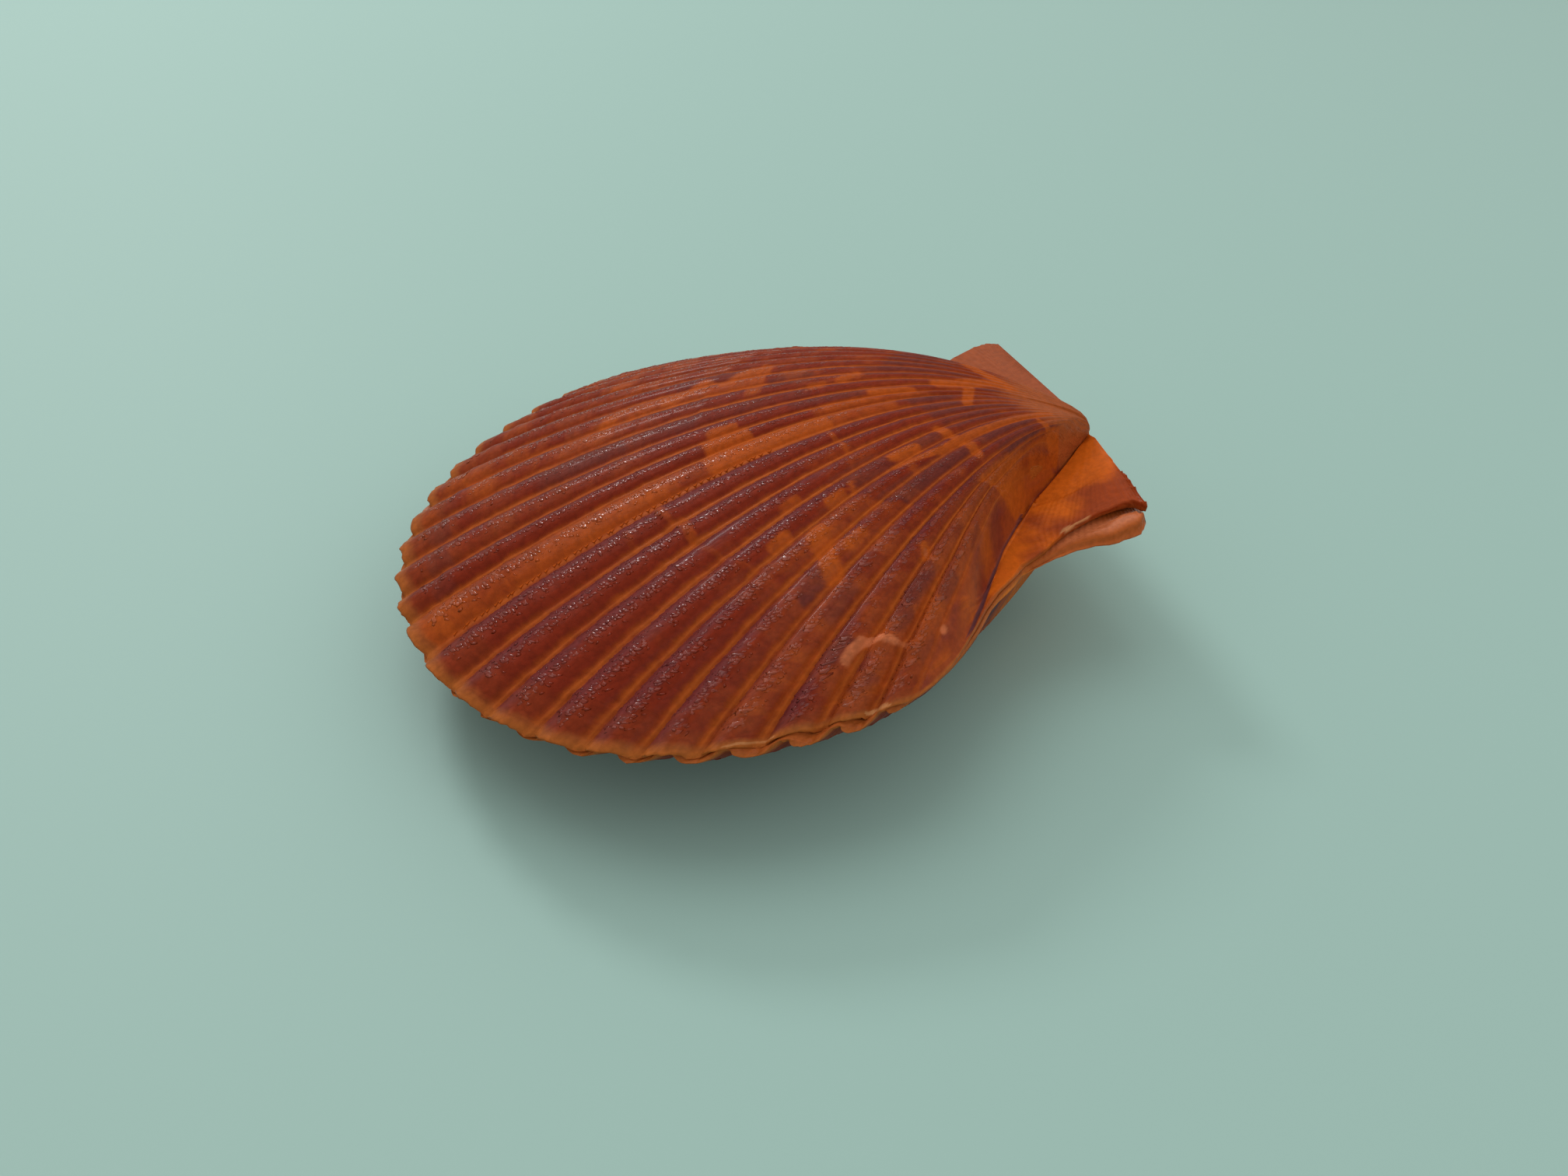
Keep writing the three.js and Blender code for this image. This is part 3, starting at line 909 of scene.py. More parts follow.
scales = {
    "firstStage": 0.33,
    "firstSpread": 0.06,
    "fadeStage": 0.93,
    "lastStage": 0.984,
    "sunk": 0.1,             # mm from the surface down to a plate's hidden root
    "rim": 0.006,            # mm that a plate's rim stays under the rib
    "corner": 0.78,          # how far a plate's corners reach
    "smallest": 0.15,
    "farSmaller": 0.45,      # share that the far half's plates lose in height
    "bare": (-0.85, -0.2),   # noise below this leaves a stretch without plates
    "bareWaves": (0.7, 34),
    "sizes": (0.2, 1.5),     # chance factors of a plate's size, width and length
    "widths": (0.6, 1.5),
    "lengths": (0.5, 1.4),
    "sway": 0.1,             # turns across its row, in jitters
    "sideSize": 0.3,         # share of the size where the ribs fade, and near the beak
    "earlySize": 0.4,
    "earlyStages": (0.3, 0.6),
    "scarred": (0.02, 0.2),  # mask of the scar that leaves no plates
    "leastRib": (0.35, 0.6),         # share of a rib that a plate needs, and how much more early on
    "ribStages": (0.45, 0.6),
    "farHalf": (-6, 6),      # angles across which the plates grow lower
    "ridgeAngles": (24, 34),
    "ridgeStages": (0.42, 0.6),
    "crest": {"rows": (-0.045, 0.055), "pitch": 0.43, "length": 0.42, "width": 0.056, "height": 0.034,
              "jitter": 0.36, "twist": 0.6, "bow": 0.1, "tilt": 1.4, "grid": (0, 0.25, 0.75, 1),
              "givesWay": 0.7},      # share of the height lost where the ridges are
    "grain": {"rows": (-0.16, 0.16, 0.25), "pitch": 0.8, "length": 0.42, "width": 0.045, "height": 0.034,
              "jitter": 0.5, "twist": 0.8, "bow": 0.08, "tilt": 1, "grid": (0, 0.4, 1), "givesWay": 0.5},
    "ridge": {"rows": (0.02,), "pitch": 0.95, "length": 0.7, "width": 0.2, "height": 0.036, "jitter": 0.4,
              "twist": 0.4, "bow": 0.5, "tilt": 0.6, "grid": (0, 0.35, 0.75, 1)},
}

teeth = {
    "pitch": 0.72,
    "jitter": 0.3,
    "stages": (0.5, 0.97),
    "reach": 0.5,
    "edge": 0.36,            # turns from the crest
    "thickness": 0.12,
    "smallest": 0.25,
    "sizes": (0.15, 0.8),
    "brightSize": 1.1,
    "inward": 0.03,          # turns and mm by which the foot is moved to the crest and up
    "lifted": 0.02,
    "halfWidth": 0.4,        # in pitches
    "lean": (0.4, 0.25),     # towards the lip and up, in lengths
    "colourFrom": (0.1, 0.03),       # turns nearer the crest where the colour is taken, less if bright
    "bright": (-1.5, -0.44),         # the orange rib's crest, and where its teeth stand across the groove
}

toothFaces = np.array(((0, 2, 1), (3, 4, 5), (0, 1, 4), (0, 4, 3), (1, 2, 5), (1, 5, 4),
                       (2, 0, 3), (2, 3, 5)))


def surface(valve, turns, stage):
    return outerPoint(valve, ribbedColumns(valve, turns), stage)


def surfaceFrame(valve, turns, stage):  # growth, sideways and outward
    step, grow = 0.02, 0.002
    sideways = surface(valve, turns + step, stage) - surface(valve, turns - step, stage)
    growth = surface(valve, turns, stage + grow) - surface(valve, turns, stage - grow)
    outward = np.cross(sideways, growth) * valve["side"]
    return [part / np.linalg.norm(part, axis=-1, keepdims=True) for part in (growth, sideways, outward)]


def rowPlaces(valve, turn, kind, first, last, chance):  # stages of one row
    length = marginLength(ribbedColumns(valve, np.array([turn])))[0]
    count = int((last - first) * length / kind["pitch"])
    wander = chance.uniform(-kind["jitter"], kind["jitter"], count)
    return first + (np.arange(count) + wander) * kind["pitch"] / length


def plateFaces(size):  # a square sheet closed by a fan to its root
    index = np.arange(size * size).reshape(size, size)
    a, b, c, d = (part.ravel() for part in (index[:-1, :-1], index[:-1, 1:], index[1:, 1:], index[1:, :-1]))
    rim = [*index[0], *index[1:, -1], *index[-1, -2::-1], *index[-2:0:-1, 0]]
    fanned = np.stack([np.roll(rim, -1), rim, np.full(len(rim), size * size)], 1)
    return np.concatenate([np.stack([a, b, c], 1), np.stack([a, c, d], 1), fanned])


def makePlates(valve, kind, crests, strength, chance):
    turns, stages, size = [], [], []
    for crest in crests:
        for offset in kind["rows"]:
            start = scales["firstStage"] + chance.uniform(0, scales["firstSpread"])
            row = rowPlaces(valve, crest + offset, kind, start, scales["lastStage"], chance)
            turns.append(crest + offset + scales["sway"] * kind["jitter"] * chance.uniform(-1, 1, len(row)))
            stages.append(row)
            size.append(chance.uniform(*scales["sizes"], len(row)))
    turns, stages, size = (np.concatenate(part) for part in (turns, stages, size))
    fade = ribFade({"turns": turns})
    size = size * atLeast(scales["sideSize"], fade)
    size = size * atLeast(scales["earlySize"], ease(stages, *scales["earlyStages"]))
    size = size * strength(ribAngle(valve, turns), stages)
    around, along = scales["bareWaves"]
    size = size * ease(softNoise(turns * around, stages * along, valve["seed"] + 6), *scales["bare"])
    if valve["side"] > 0:              # none on the scar
        scarred = strokes(valve, ribbedColumns(valve, turns), stages, paleStrokes)
        size = size * (1 - ease(scarred, *scales["scarred"]))
    least, more = scales["leastRib"]
    least = least + more * (1 - ease(stages, *scales["ribStages"]))
    kept = (size > scales["smallest"]) & (fade > least)
    turns, stages, size = turns[kept], stages[kept], size[kept]
    columns = ribbedColumns(valve, turns)
    length = marginLength(columns)
    outward = surfaceFrame(valve, turns, stages)[2]
    twist, tiltAlong, tiltAcross = chance.uniform(-1, 1, (3, len(turns)))
    twist = kind["twist"] * twist
    broad = chance.uniform(*scales["widths"], len(turns)) * kind["width"] * np.minimum(1, 0.5 + size)
    long = chance.uniform(*scales["lengths"], len(turns)) * kind["length"]
    sheet, tips = [], []
    for row in kind["grid"]:
        for across in np.array(kind["grid"]) * 2 - 1:
            ends = (row in (0, 1), abs(across) == 1)
            onRim, rounded = any(ends), scales["corner"] if all(ends) else 1
            bow = kind["bow"] * across**2 * atLeast(0.3, row)
            along = ((0.5 + (row - 0.5) * rounded + 0.25 * twist * across) * long - bow) / length
            tilt = 1 + kind["tilt"] * (tiltAlong * (row - 0.5) * 2 + tiltAcross * across + row - 0.5)
            height = 0 * size - scales["rim"] if onRim else kind["height"] * size * tilt
            offset = (across * rounded + 0.8 * twist * (row - 0.5)) * broad
            sheet.append(surface(valve, turns + offset, stages + along) + outward * height[:, None])
            tips.append(0 * size if onRim else 0 * size + 1)
    root = surface(valve, turns, stages + 0.5 * long / length) - outward * scales["sunk"]
    points = np.stack(sheet + [root], 1)
    values = attributesOf(valve, columns, stages)
    values = {key: np.repeat(value, points.shape[1]) for key, value in values.items()}
    values["tip"] = np.stack(tips + [0 * size], 1).ravel()
    faces = plateFaces(len(kind["grid"]))
    smooth = np.arange(len(faces)) < 2 * (len(kind["grid"]) - 1) ** 2            # not the hidden root
    faces = faces[None] + points.shape[1] * np.arange(len(turns))[:, None, None]
    return points.reshape(-1, 3), faces.reshape(-1, 3), values, np.tile(smooth, len(turns))


def makeTeeth(valve, crests, chance):
    rows = []
    for crest in crests:
        for side in (-1, 1):
            row = rowPlaces(valve, crest, teeth, *teeth["stages"], chance)
            bright = valve["side"] * side < 0 and crest == teeth["bright"][0]
            turn = crest + (teeth["bright"][1] if bright else side * teeth["edge"])
            rows.append([turn + 0 * row, row, side + 0 * row, bright + 0 * row])
    turns, stages, sides, brights = np.concatenate(rows, 1)
    grown = chance.uniform(*teeth["sizes"], len(turns)) * stages * ribFade({"turns": turns})
    grown = grown * (1 - brights) + teeth["brightSize"] * brights
    kept = ((sides > 0) | (brights > 0)) & (grown > teeth["smallest"])
    turns, stages, sides, brights, grown = (part[kept] for part in (turns, stages, sides, brights, grown))
    growth, sideways, outward = surfaceFrame(valve, turns, stages)
    grown = grown[:, None] * teeth["reach"]
    base = surface(valve, turns - teeth["inward"] * sides, stages) + outward * teeth["lifted"]
    half = teeth["halfWidth"] * teeth["pitch"] * growth
    toLip, up = teeth["lean"]
    upper = [base - half, base + half,
             base + sideways * sides[:, None] * grown + growth * grown * toLip + outward * grown * up]
    points = np.stack(upper + [corner - outward * teeth["thickness"] for corner in upper], 1)
    faces = toothFaces[None] + 6 * np.arange(len(points))[:, None, None]
    faces = np.where(sides[:, None, None] > 0, faces, faces[:, :, ::-1]).reshape(-1, 3)
    values = attributesOf(valve, ribbedColumns(valve, turns), stages)
    nearer, less = teeth["colourFrom"]
    values["turns"] = values["turns"] - sides * (nearer - less * brights)
    values["orange"] = np.maximum(values["orange"], brights)
    values["tip"] = 0 * stages + 0.3
    values = {key: np.repeat(value, 6) for key, value in values.items()}
    return points.reshape(-1, 3), faces, values, np.full(len(faces), False)


def makeScales(valve, name):
    chance = np.random.default_rng(valve["seed"])
    firstRib = math.ceil(-ribs["lastTurn"] - valve["shift"] + 0.5) + valve["shift"] - 0.5
    crests = np.arange(firstRib, ribs["lastTurn"], 1)
    ending = lambda stage: 1 - ease(stage, scales["fadeStage"], scales["lastStage"])
    small = lambda angle: 1 - scales["farSmaller"] * ease(angle, *scales["farHalf"])
    curved = lambda angle, stage: (
        ease(-angle, *scales["ridgeAngles"]) * ease(stage, *scales["ridgeStages"]) * ending(stage))
    beside = lambda share: lambda angle, stage: (
        small(angle) * ending(stage) * (1 - share * curved(angle, stage)))
    parts = [
        makePlates(valve, scales["crest"], crests, beside(scales["crest"]["givesWay"]), chance),
        makePlates(valve, scales["grain"], crests, beside(scales["grain"]["givesWay"]), chance),
        makePlates(valve, scales["ridge"], crests, curved, chance),
        makeTeeth(valve, crests, chance),
    ]
    points, faces, values, smooth = zip(*parts)
    starts = np.cumsum([0, *map(len, points)])
    faces = [part + start for part, start in zip(faces, starts)]
    if valve["side"] < 0:
        faces = [part[:, ::-1] for part in faces]
    values = {key: np.concatenate([part[key] for part in values]) for key in values[0]}
    return makePiece(name, np.concatenate(points), faces, values, (), np.concatenate(smooth))


leftScales = makeScales(leftValve, "left_valve_scales")
rightScales = makeScales(rightValve, "right_valve_scales")


def makeLigament():
    line = ligamentLine(ligament["steps"])
    fromEnds = lambda line: np.minimum(line[:, 1] - line[0, 1], line[-1, 1] - line[:, 1])
    line = line[fromEnds(line) > ligament["shorter"]]
    around = np.linspace(0, 2 * math.pi, ligament["sides"], endpoint=False)
    boxy = lambda wave: np.sign(wave) * np.abs(wave) ** 0.5
    ring = np.stack([boxy(np.cos(around)) * ligament["width"] / 2, 0 * around,
                     boxy(np.sin(around)) * ligament["thickness"] / 2], -1)
    frayed = 1 - ligament["fibres"] * (1 + softNoise(line[:, 1:2] * 1.7, around[None] * 2, 31))
    narrow = atLeast(ligament["tip"], np.clip(fromEnds(line) / ligament["taper"], 0, 1))
    line[:, 0] *= narrow
    points = (line[:, None] + ring[None] * (frayed * narrow[:, None])[..., None]).reshape(-1, 3)
    index = np.arange(len(points)).reshape(len(line), ligament["sides"])
    nextRing = np.roll(index, -1, axis=1)
    sides = np.stack([index[:-1], index[1:], nextRing[1:], nextRing[:-1]], -1).reshape(-1, 4)
    ends = np.concatenate([index[:1], index[-1:, ::-1]])
    return makePiece("ligament_strip", points, [sides, ends], {}, ("ligament",))


ligamentStrip = makeLigament()


# Materials

def paint(red, green, blue):  # a screen colour, 0 to 255
    linear = lambda c: c / 12.92 if c <= 0.04045 else ((c + 0.055) / 1.055) ** 2.4
    return tuple(linear(c / 255) for c in (red, green, blue)) + (1,)


leftColours = {
    # the far sides' purple is partly the ribs' own tone, partly a painted reflection of the cool sky
    "Rib Far Side Tone And Sheen": paint(106, 42, 40),
    "Rib Near Side": paint(120, 38, 18),
    "Warm Rib": paint(144, 62, 28),
    "Groove": paint(150, 68, 22),
    "Riblet": paint(170, 84, 30),
    "Umbo Tone And Bounce Light": paint(158, 78, 36),
    "Blotch And Bounce Light": paint(172, 78, 20),
    "Dark Patch And Shadow": paint(104, 44, 36),
    # crease colour: partly purple pigment, partly painted shade and cool reflection
    "Blue": paint(74, 42, 52),
    "Margin": paint(152, 80, 38),
    "Lip": paint(160, 86, 36),
    "Pale": paint(184, 100, 62),
    "Cream": paint(196, 136, 88),
    "Ear": paint(200, 94, 22),
    "Ear Tip": paint(148, 62, 26),
    "Far Ear": paint(150, 76, 44),
    "Inside": paint(156, 76, 26),
    # pink band near the lower short ear's rolled rim: a painted highlight
    "Inside Rim Highlight": paint(184, 104, 64),
}

rightColours = {
    **leftColours,
    "Rib Far Side Tone And Sheen": paint(98, 34, 28),
    "Rib Near Side": paint(112, 34, 18),
    "Groove": paint(166, 78, 22),
    # lighter orange near the beak: partly own tone, partly painted bounce light
    "Umbo Tone And Bounce Light": paint(190, 108, 44),
    "Blotch And Bounce Light": paint(186, 98, 30),
    # the lower valve's dark colour paints shadow over its middle
    "Dark Patch And Shadow": paint(84, 26, 22),
    "Ear": paint(198, 108, 40),
    "Ear Tip": paint(176, 90, 44),
}

shellFinish = {              # heights are shares of the bump's depth
    "bump": 0.6, "bumpDepth": 0.06 * millimetre, "specular": 0.03, "coatRoughness": 0.14,
    "roughness": 0.56, "roughnessSpread": 0.14, "ribSmoother": 0.12, "insideSmoother": 0.2,
    "gloss": 0.01, "ribGloss": 0.06, "tipGloss": 0.5,
    "bandHeight": 0.7, "lineHeight": 0.25, "grainHeight": 0.4, "facetHeight": 1.6, "speckHeight": 0.3,
    "earRiblets": 150,
    "bandShade": 0.3, "creviceShade": 0.1, "earlyRib": 0.6,
}

patternWaves = {             # in a turn and from beak to margin; blotches and specks in a metre
    "ribEdge": (3, 60), "wander": (1.5, 30), "line": (1.2, 150), "band": (0.6, 75), "mottle": (0.5, 19),
    "grain": (9, 110), "blotches": 260, "specks": 1500,
}

softMasks = {                # where a mask starts and is whole, and its first and last value
    "Umbo Tone And Bounce Light": (0.08, 0.2), "Late": (0.86, 0.99), "Margin": (0.962, 1), "Lip": (0.985, 0.997),
    "Inside Rim Highlight": (0.7, 0.84), "Inside": (0.92, 0.99, 0, 0.85), "nacre": (0.9, 0.97, 0.4, 0),
    "faintRib": (0.15, 0.45, 1, 0), "farSideSheen": (0.4, 0.66), "distinct": (0.1, 0.42, 0.35, 1),
    "riblet": (0, 0.14, 1, 0), "ribletStages": (0.5, 0.75, 0.9, 0.4), "crown": (0.5, 0.8, 0.3, 1),
    "grooveMottle": (0.4, 0.65, 0, 0.7), "orange": (0, 0.9, 0.45, 0.85), "specks": (0.3, 0.7, 0.88, 1.1),
    "grain": (0.1, 0.75, 1, 0), "lined": (0.05, 0.3, 0.25, 1),
    "ear": (0, 0.06), "farEar": (0, 1), "earCream": (0.1, 0.9, 0, 0.75),
    "earRiblets": (0.06, 0.2), "earRibletStages": (0.4, 0.8, 0, 0.5),
}

coatShares = {"late": 0.12, "blue": 0.85, "margin": 0.85, "darkRib": (0.7, 0.25), "earTip": (0.45, 0.6)}

brokenEdges = {              # how ragged a colour's edge is, and the mask values across it
    "Warm Rib": (0.9, 0.15, 0.95), "Dark Patch And Shadow": (0.5, 0.2, 0.8), "Umbo Tone And Bounce Light": (0.6, 0.3, 0.9),
    "Late": (0.9, 0.45, 0.95), "Blotch And Bounce Light": (0.6, 0.25, 0.8), "Blue": (0.3, 0.2, 0.8),
    "Margin": (0.6, 0.35, 0.85), "Cream": (0.5, 0.3, 0.8), "Pale": (0.1, 0.1, 0.8),
    "Ear Tip": (0.5, 0.38, 0.8),
}

attributeNames = {
    "Turns": "turns", "Stage": "stage", "Angle": "angle", "Ear Share": "ear", "Ribbed": "ribbed",
    "Orange Mask": "orange", "Dark Mask": "dark", "Pale Mask": "pale", "Inside Mask": "inside",
    "Tip Mask": "tip", "Warm Mask": "warm", "Cream Mask": "cream", "Blue Mask": "blue",
}


class NodeMaker:  # makes and links the nodes of one tree
    def __init__(self, tree):
        self.tree = tree

    def fill(self, sockets, values):
        for name, value in dict(values).items():
            if isinstance(value, bpy.types.NodeSocket):
                self.tree.links.new(value, sockets[name])
            else:
                sockets[name].default_value = value

    def add(self, kind, inputs=(), **settings):
        made = self.tree.nodes.new("ShaderNode" + kind)
        for name, value in settings.items():
            setattr(made, name, value)
        self.fill(made.inputs, inputs)
        return made.outputs

    def maths(self, operation, *values):
        return self.add("Math", enumerate(values), operation=operation)[0]

    def times(self, *values):
        return self.maths("MULTIPLY", *values)

    def plus(self, *values):
        return self.maths("ADD", *values)

    def minus(self, *values):
        return self.maths("SUBTRACT", *values)

    def timesPlus(self, *values):
        return self.maths("MULTIPLY_ADD", *values)

    def soften(self, value, low, high, start=0.0, end=1.0):    # smooth step between two values
        inputs = {"Value": value, "From Min": low, "From Max": high, "To Min": start, "To Max": end}
        return self.add("MapRange", inputs, interpolation_type="SMOOTHSTEP")[0]

    def mask(self, value, name):
        return self.soften(value, *softMasks[name])

    def blend(self, share, first, second, mode="MIX"):
        return self.add("Mix", {0: share, 6: first, 7: second}, data_type="RGBA", blend_type=mode)[2]

    def together(self, x, y, z=0.0):
        return self.add("CombineXYZ", enumerate((x, y, z)))[0]

    def over(self, turns, stage, name):
        around, along = patternWaves[name]
        return self.together(self.times(turns, around), self.times(stage, along))

    def vectors(self, operation, first, second):
        return self.add("VectorMath", {0: first, 1: second}, operation=operation)

    def noise(self, vector, scale, detail=2.0, roughness=0.5):
        inputs = {"Vector": vector, "Scale": scale, "Detail": detail, "Roughness": roughness}
        return self.add("TexNoise", inputs)[0]


def startGroup(name, inputs, outputs):
    group = bpy.data.node_groups.new(name, "ShaderNodeTree")
    for socket, kind, value in inputs:
        made = group.interface.new_socket(socket, in_out="INPUT", socket_type="NodeSocket" + kind)
        made.default_value = value
    for socket, kind in outputs:
        group.interface.new_socket(socket, in_out="OUTPUT", socket_type="NodeSocket" + kind)
    given, put = group.nodes.new("NodeGroupInput"), group.nodes.new("NodeGroupOutput")
    return NodeMaker(group), given.outputs, put.inputs


def makeRibMask():  # grooves, sides and crests by turns
    n, given, put = startGroup(
        "rib mask",
        [("Turns", "Float", 0), ("Stage", "Float", 0), ("Ribbed", "Float", 1)],
        [("Rib", "Float"), ("Across", "Float"), ("Far Side", "Float")])
    turns, stage = given["Turns"], given["Stage"]
    wander = n.timesPlus(n.noise(n.over(turns, stage, "ribEdge"), 1.0, 3.0), 0.2, -0.1)
    across = n.times(n.maths("PINGPONG", turns, 0.5), 2.0)     # 0 in a groove, 1 on a crest
    early = n.mask(stage, "faintRib")
    rib = n.soften(n.plus(across, wander), n.timesPlus(early, 0.1, 0.12), n.timesPlus(early, 0.4, 0.34))
    flat = n.minus(1.0, given["Ribbed"])
    # painted sheen: a purple tint on each rib's far side stands in for the sky's reflection
    farSideSheen = n.mask(n.plus(n.maths("FRACT", turns), wander), "farSideSheen")
    n.fill(put, {"Rib": n.maths("MAXIMUM", rib, n.times(flat, 0.7)), "Across": across, "Far Side": farSideSheen})
    return n.tree


def makeGrowthLines():  # fine lines across the growth, blotches along the ribs, and a scaly grain
    n, given, put = startGroup(
        "growth lines",
        [("Turns", "Float", 0), ("Stage", "Float", 0), ("Across", "Float", 0)],
        [("Line", "Float"), ("Band", "Float"), ("Mottle", "Float"), ("Grain", "Float"), ("Facet", "Float")])
    turns, stage = given["Turns"], given["Stage"]
    bow = n.times(n.maths("POWER", given["Across"], 2.0), 0.006)
    wander = n.timesPlus(n.noise(n.over(turns, stage, "wander"), 1.0, 2.0), 0.03, -0.015)
    bowed = n.plus(n.plus(stage, bow), wander)
    around, along = patternWaves["mottle"]
    ownRib = n.timesPlus(n.maths("FLOOR", turns), 5.3, n.times(turns, around))   # blotches follow the ribs
    cell = n.over(turns, bowed, "grain")
    cells = n.add("TexVoronoi", {"Vector": cell, "Scale": 1.0, "Randomness": 0.8},
                  voronoi_dimensions="2D", feature="F1")
    tilt = n.vectors("SUBTRACT", cells["Color"], (0.5, 0.5, 0.5))[0]
    within = n.vectors("SUBTRACT", cell, cells["Position"])[0]
    n.fill(put, {
        "Line": n.noise(n.over(turns, bowed, "line"), 1.0, 1.0),
        "Band": n.noise(n.over(turns, bowed, "band"), 1.0, 3.0, 0.6),
        "Mottle": n.noise(n.together(ownRib, n.times(bowed, along), 3.7), 1.0, 3.0, 0.6),
        "Grain": n.mask(cells["Distance"], "grain"),
        "Facet": n.vectors("DOT_PRODUCT", tilt, within)["Value"],
    })
    return n.tree


def makeShellPaint(ribMask, growthLines):  # the whole pattern of one valve
    n, given, put = startGroup(
        "shell paint",
        [("Place", "Vector", (0, 0, 0))] + [(name, "Float", 0) for name in attributeNames]
        + [(name, "Color", (0.5, 0.5, 0.5, 1)) for name in leftColours],
        [("Colour", "Color"), ("Roughness", "Float"), ("Height", "Float"), ("Gloss", "Float")])
    stage, ribbed, ear = given["Stage"], given["Ribbed"], given["Ear Share"]
    tip, inside, orange = given["Tip Mask"], given["Inside Mask"], given["Orange Mask"]
    place = {"Turns": given["Turns"], "Stage": stage}
    mask = n.add("Group", {**place, "Ribbed": ribbed}, node_tree=ribMask)
    rib, across = mask["Rib"], mask["Across"]
    lines = n.add("Group", {**place, "Across": across}, node_tree=growthLines)
    coarse = n.noise(given["Place"], patternWaves["blotches"], 2.0, 0.45)
    fine = n.noise(given["Place"], patternWaves["specks"], 3.0, 0.6)
    mottle = n.timesPlus(n.minus(lines["Mottle"], coarse), ribbed, coarse)

    def ragged(name, value):  # a mask with a broken edge
        size, low, high = brokenEdges[name]
        broken = n.timesPlus(n.minus(mottle, 0.5), 1.5 * size, value)
        return n.soften(n.timesPlus(n.minus(coarse, 0.5), 0.6 * size, broken), low, high)

    def coats(colour, *layers):  # one colour over another
        for name, share in layers:
            colour = n.blend(share, colour, given[name])
        return colour

    riblet = n.times(n.mask(across, "riblet"), n.mask(stage, "ribletStages"))
    groove = coats(given["Groove"], ("Rib Near Side", n.mask(mottle, "grooveMottle")), ("Riblet", riblet))
    side = coats(given["Rib Near Side"], ("Rib Far Side Tone And Sheen", mask["Far Side"]),
                 ("Warm Rib", ragged("Warm Rib", given["Warm Mask"])))
    early = shellFinish["earlyRib"]
    onDark = n.timesPlus(rib, *coatShares["darkRib"])
    colour = coats(
        n.blend(n.timesPlus(n.minus(rib, early), n.mask(stage, "distinct"), early), groove, side),
        ("Dark Patch And Shadow", n.times(ragged("Dark Patch And Shadow", given["Dark Mask"]), onDark)),
        ("Umbo Tone And Bounce Light", ragged("Umbo Tone And Bounce Light", n.minus(1.0, n.mask(stage, "Umbo Tone And Bounce Light")))),
        ("Margin", n.times(ragged("Late", n.mask(stage, "Late")), coatShares["late"])),
        ("Blotch And Bounce Light", n.times(ragged("Blotch And Bounce Light", orange), n.mask(orange, "orange"))),
        # painted shade and cool reflection along the flank crease
        ("Blue", n.times(ragged("Blue", given["Blue Mask"]), coatShares["blue"])),
        ("Margin", n.times(ragged("Margin", n.mask(stage, "Margin")), coatShares["margin"])),
        ("Lip", n.mask(stage, "Lip")),
        ("Cream", ragged("Cream", given["Cream Mask"])),
        ("Pale", ragged("Pale", given["Pale Mask"])))
    earColour = coats(
        given["Ear"],
        ("Ear Tip", ragged("Ear Tip", n.times(stage, n.timesPlus(ear, *coatShares["earTip"])))),
        ("Far Ear", n.mask(given["Angle"], "farEar")),
        ("Cream", n.mask(given["Cream Mask"], "earCream")))
    # the pink band between the two inner colours is a painted highlight on the rolled rim
    insideColour = coats(given["Inside"], *((name, n.mask(stage, name)) for name in ("Inside Rim Highlight", "Inside")))
    colour = n.blend(inside, n.blend(n.mask(ear, "ear"), colour, earColour), insideColour)

    lined = n.times(n.timesPlus(ribbed, 0.9, 0.1), n.mask(stage, "lined"))
    scaly = n.times(rib, ribbed)
    shade = n.timesPlus(n.times(n.minus(lines["Band"], 0.45), lined), shellFinish["bandShade"], 1.0)
    shade = n.times(shade, n.mask(fine, "specks"))
    # painted shade: the ribs darken in the crevices between the grain's cells
    crevice = n.times(n.minus(1.0, lines["Grain"]), n.times(scaly, shellFinish["creviceShade"]))
    shade = n.times(shade, n.minus(1.0, crevice))
    grey = n.add("CombineColor", {0: shade, 1: shade, 2: shade})[0]

    rough = n.timesPlus(rib, -shellFinish["ribSmoother"], shellFinish["roughness"])
    rough = n.timesPlus(tip, -shellFinish["ribSmoother"], rough)
    rough = n.timesPlus(inside, -shellFinish["insideSmoother"], rough)
    spread = shellFinish["roughnessSpread"]
    gloss = n.timesPlus(rib, shellFinish["ribGloss"], shellFinish["gloss"])
    gloss = n.timesPlus(tip, shellFinish["tipGloss"], gloss)
    nacre = n.times(inside, n.mask(stage, "nacre"))

    height = n.times(lines["Line"], shellFinish["lineHeight"])
    height = n.times(n.timesPlus(lines["Band"], shellFinish["bandHeight"], height), lined)
    height = n.timesPlus(n.times(lines["Grain"], scaly), shellFinish["grainHeight"], height)
    crown = n.times(n.mask(across, "crown"), ribbed)
    height = n.timesPlus(n.times(lines["Facet"], crown), shellFinish["facetHeight"], height)
    riblets = n.maths("SINE", n.times(ear, shellFinish["earRiblets"]))
    riblets = n.times(riblets, n.mask(ear, "earRiblets"))
    height = n.timesPlus(riblets, n.mask(stage, "earRibletStages"), height)
    n.fill(put, {
        "Colour": n.blend(1.0, colour, grey, "MULTIPLY"),
        "Roughness": n.timesPlus(fine, spread, n.minus(rough, spread / 2)),
        "Height": n.timesPlus(fine, shellFinish["speckHeight"], height),
        "Gloss": n.plus(nacre, gloss),
    })
    return n.tree


shellPaint = makeShellPaint(makeRibMask(), makeGrowthLines())


def startMaterial(name):
    material = bpy.data.materials.new(name)
    material.use_nodes = True
    tree = material.node_tree
    return material, NodeMaker(tree), tree.nodes["Principled BSDF"].inputs


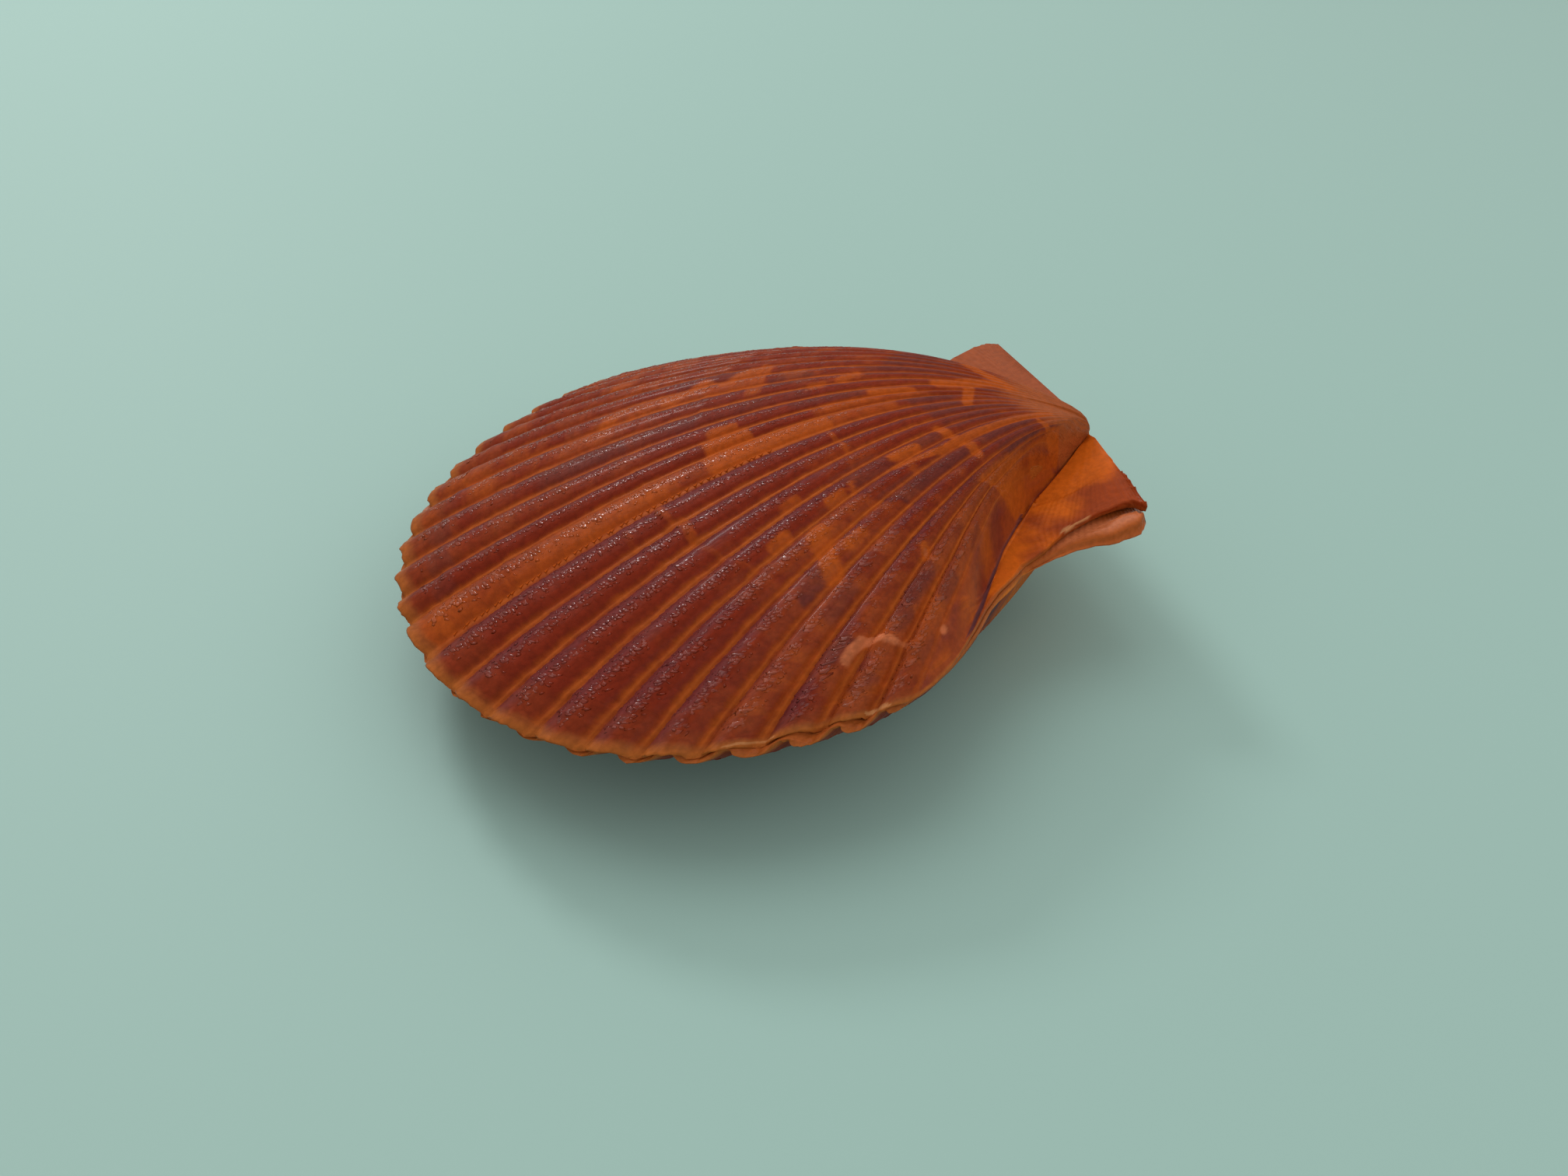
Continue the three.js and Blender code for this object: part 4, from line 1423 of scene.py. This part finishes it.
def shellMaterial(name, colours):
    material, n, shader = startMaterial(name)
    masks = {socket: n.add("Attribute", attribute_name=attribute)["Fac"]
             for socket, attribute in attributeNames.items()}
    place = {"Place": n.add("TexCoord")["Object"]}
    pattern = n.add("Group", {**masks, **place, **colours}, node_tree=shellPaint)
    bumps = n.add("Bump", {"Strength": shellFinish["bump"], "Distance": shellFinish["bumpDepth"],
                           "Height": pattern["Height"]})
    n.fill(shader, {
        "Base Color": pattern["Colour"],
        "Roughness": pattern["Roughness"],
        "Normal": bumps["Normal"],
        "Specular IOR Level": shellFinish["specular"],
        "Coat Weight": pattern["Gloss"],
        "Coat Roughness": shellFinish["coatRoughness"],
    })
    return material


ligamentFinish = {
    "dark": paint(38, 22, 14),
    "light": paint(86, 52, 30),
    "fibres": (900, 120, 900),
    "roughness": (0.5, 0.75),
    "bump": 0.4,
    "bumpDepth": 0.05 * millimetre,
}


def ligamentMaterial():
    material, n, shader = startMaterial("dried ligament")
    fibres = n.add("Mapping", {"Vector": n.add("TexCoord")["Object"], "Scale": ligamentFinish["fibres"]})
    grain = n.noise(fibres[0], 1.0, 4.0, 0.6)
    bumps = n.add("Bump", {"Strength": ligamentFinish["bump"], "Distance": ligamentFinish["bumpDepth"],
                           "Height": grain})
    n.fill(shader, {
        "Base Color": n.blend(grain, ligamentFinish["dark"], ligamentFinish["light"]),
        "Roughness": n.soften(grain, 0.2, 0.8, *ligamentFinish["roughness"]),
        "Normal": bumps["Normal"],
    })
    return material


for pieces, material in (
    ((leftShell, leftScales), shellMaterial("left valve", leftColours)),
    ((rightShell, rightScales), shellMaterial("right valve", rightColours)),
    ((ligamentStrip,), ligamentMaterial()),
):
    for piece in pieces:
        piece.data.materials.append(material)
report("materials")


# Floor, light and camera, in metres

studio = {
    "floorWidth": 4.0,
    "floorColour": paint(152, 184, 176),
    "floorRoughness": 0.6,
    "floorSpecular": 0.25,
    "worldColour": paint(240, 238, 234),
    "worldStrength": 0.74,
    "lights": (              # name, place, size and power
        ("key light", (-0.12, 0.22, 0.66), 0.6, 1.1),
        ("fill light", (0.35, -0.45, 0.4), 0.6, 0.6),
        ("window light", (-0.17, 0.6, 0.49), 0.18, 1.7),
    ),
}

photoView = {
    "place": (-0.03428, -0.12984, 0.1014),
    "azimuth": 16.17,
    "elevation": 36.29,
    "roll": 0.563,
    "lens": 34.99,
    "sensor": 36,
    "nearest": 0.005,
}


def addObject(name, data):
    made = bpy.data.objects.new(name, data)
    bpy.context.scene.collection.objects.link(made)
    return made


def makeFloor():
    half = studio["floorWidth"] / 2
    data = bpy.data.meshes.new("floor")
    corners = [(-half, -half, 0), (half, -half, 0), (half, half, 0), (-half, half, 0)]
    data.from_pydata(corners, [], [(0, 1, 2, 3)])
    material, n, shader = startMaterial("pale floor")
    n.fill(shader, {"Base Color": studio["floorColour"], "Roughness": studio["floorRoughness"],
                    "Specular IOR Level": studio["floorSpecular"]})
    data.materials.append(material)
    addObject("floor", data)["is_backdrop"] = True


def addLight(name, place, size, power):
    data = bpy.data.lights.new(name, "AREA")
    data.shape = "DISK"
    data.size = size
    data.energy = power
    light = addObject(name, data)
    light.location = place
    light.rotation_euler = Vector(place).to_track_quat("Z", "Y").to_euler()      # faces the shell


def makeCamera():
    azimuth, elevation = math.radians(photoView["azimuth"]), math.radians(photoView["elevation"])
    right = np.array([math.cos(azimuth), -math.sin(azimuth), 0])
    back = np.array([-math.sin(azimuth) * math.cos(elevation),
                     -math.cos(azimuth) * math.cos(elevation), math.sin(elevation)])
    facing = Matrix(np.stack([right, np.cross(back, right), back], 1).tolist())
    facing = facing @ Matrix.Rotation(math.radians(photoView["roll"]), 3, "Z")
    data = bpy.data.cameras.new("camera")
    data.lens = photoView["lens"]
    data.sensor_width = photoView["sensor"]
    data.clip_start = photoView["nearest"]
    camera = addObject("camera", data)
    camera.matrix_world = Matrix.Translation(photoView["place"]) @ facing.to_4x4()
    bpy.context.scene.camera = camera


def makeWorld():
    world = bpy.data.worlds.new("studio")
    world.use_nodes = True
    background = world.node_tree.nodes["Background"].inputs
    background["Color"].default_value = studio["worldColour"]
    background["Strength"].default_value = studio["worldStrength"]
    bpy.context.scene.world = world
    bpy.context.scene.view_settings.view_transform = "Standard"


makeFloor()
for light in studio["lights"]:
    addLight(*light)
makeWorld()
makeCamera()
report("floor, light and camera")

({"cad": [list(corner) for corner in cadBox],
           "visual": [list(corner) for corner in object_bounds()]})
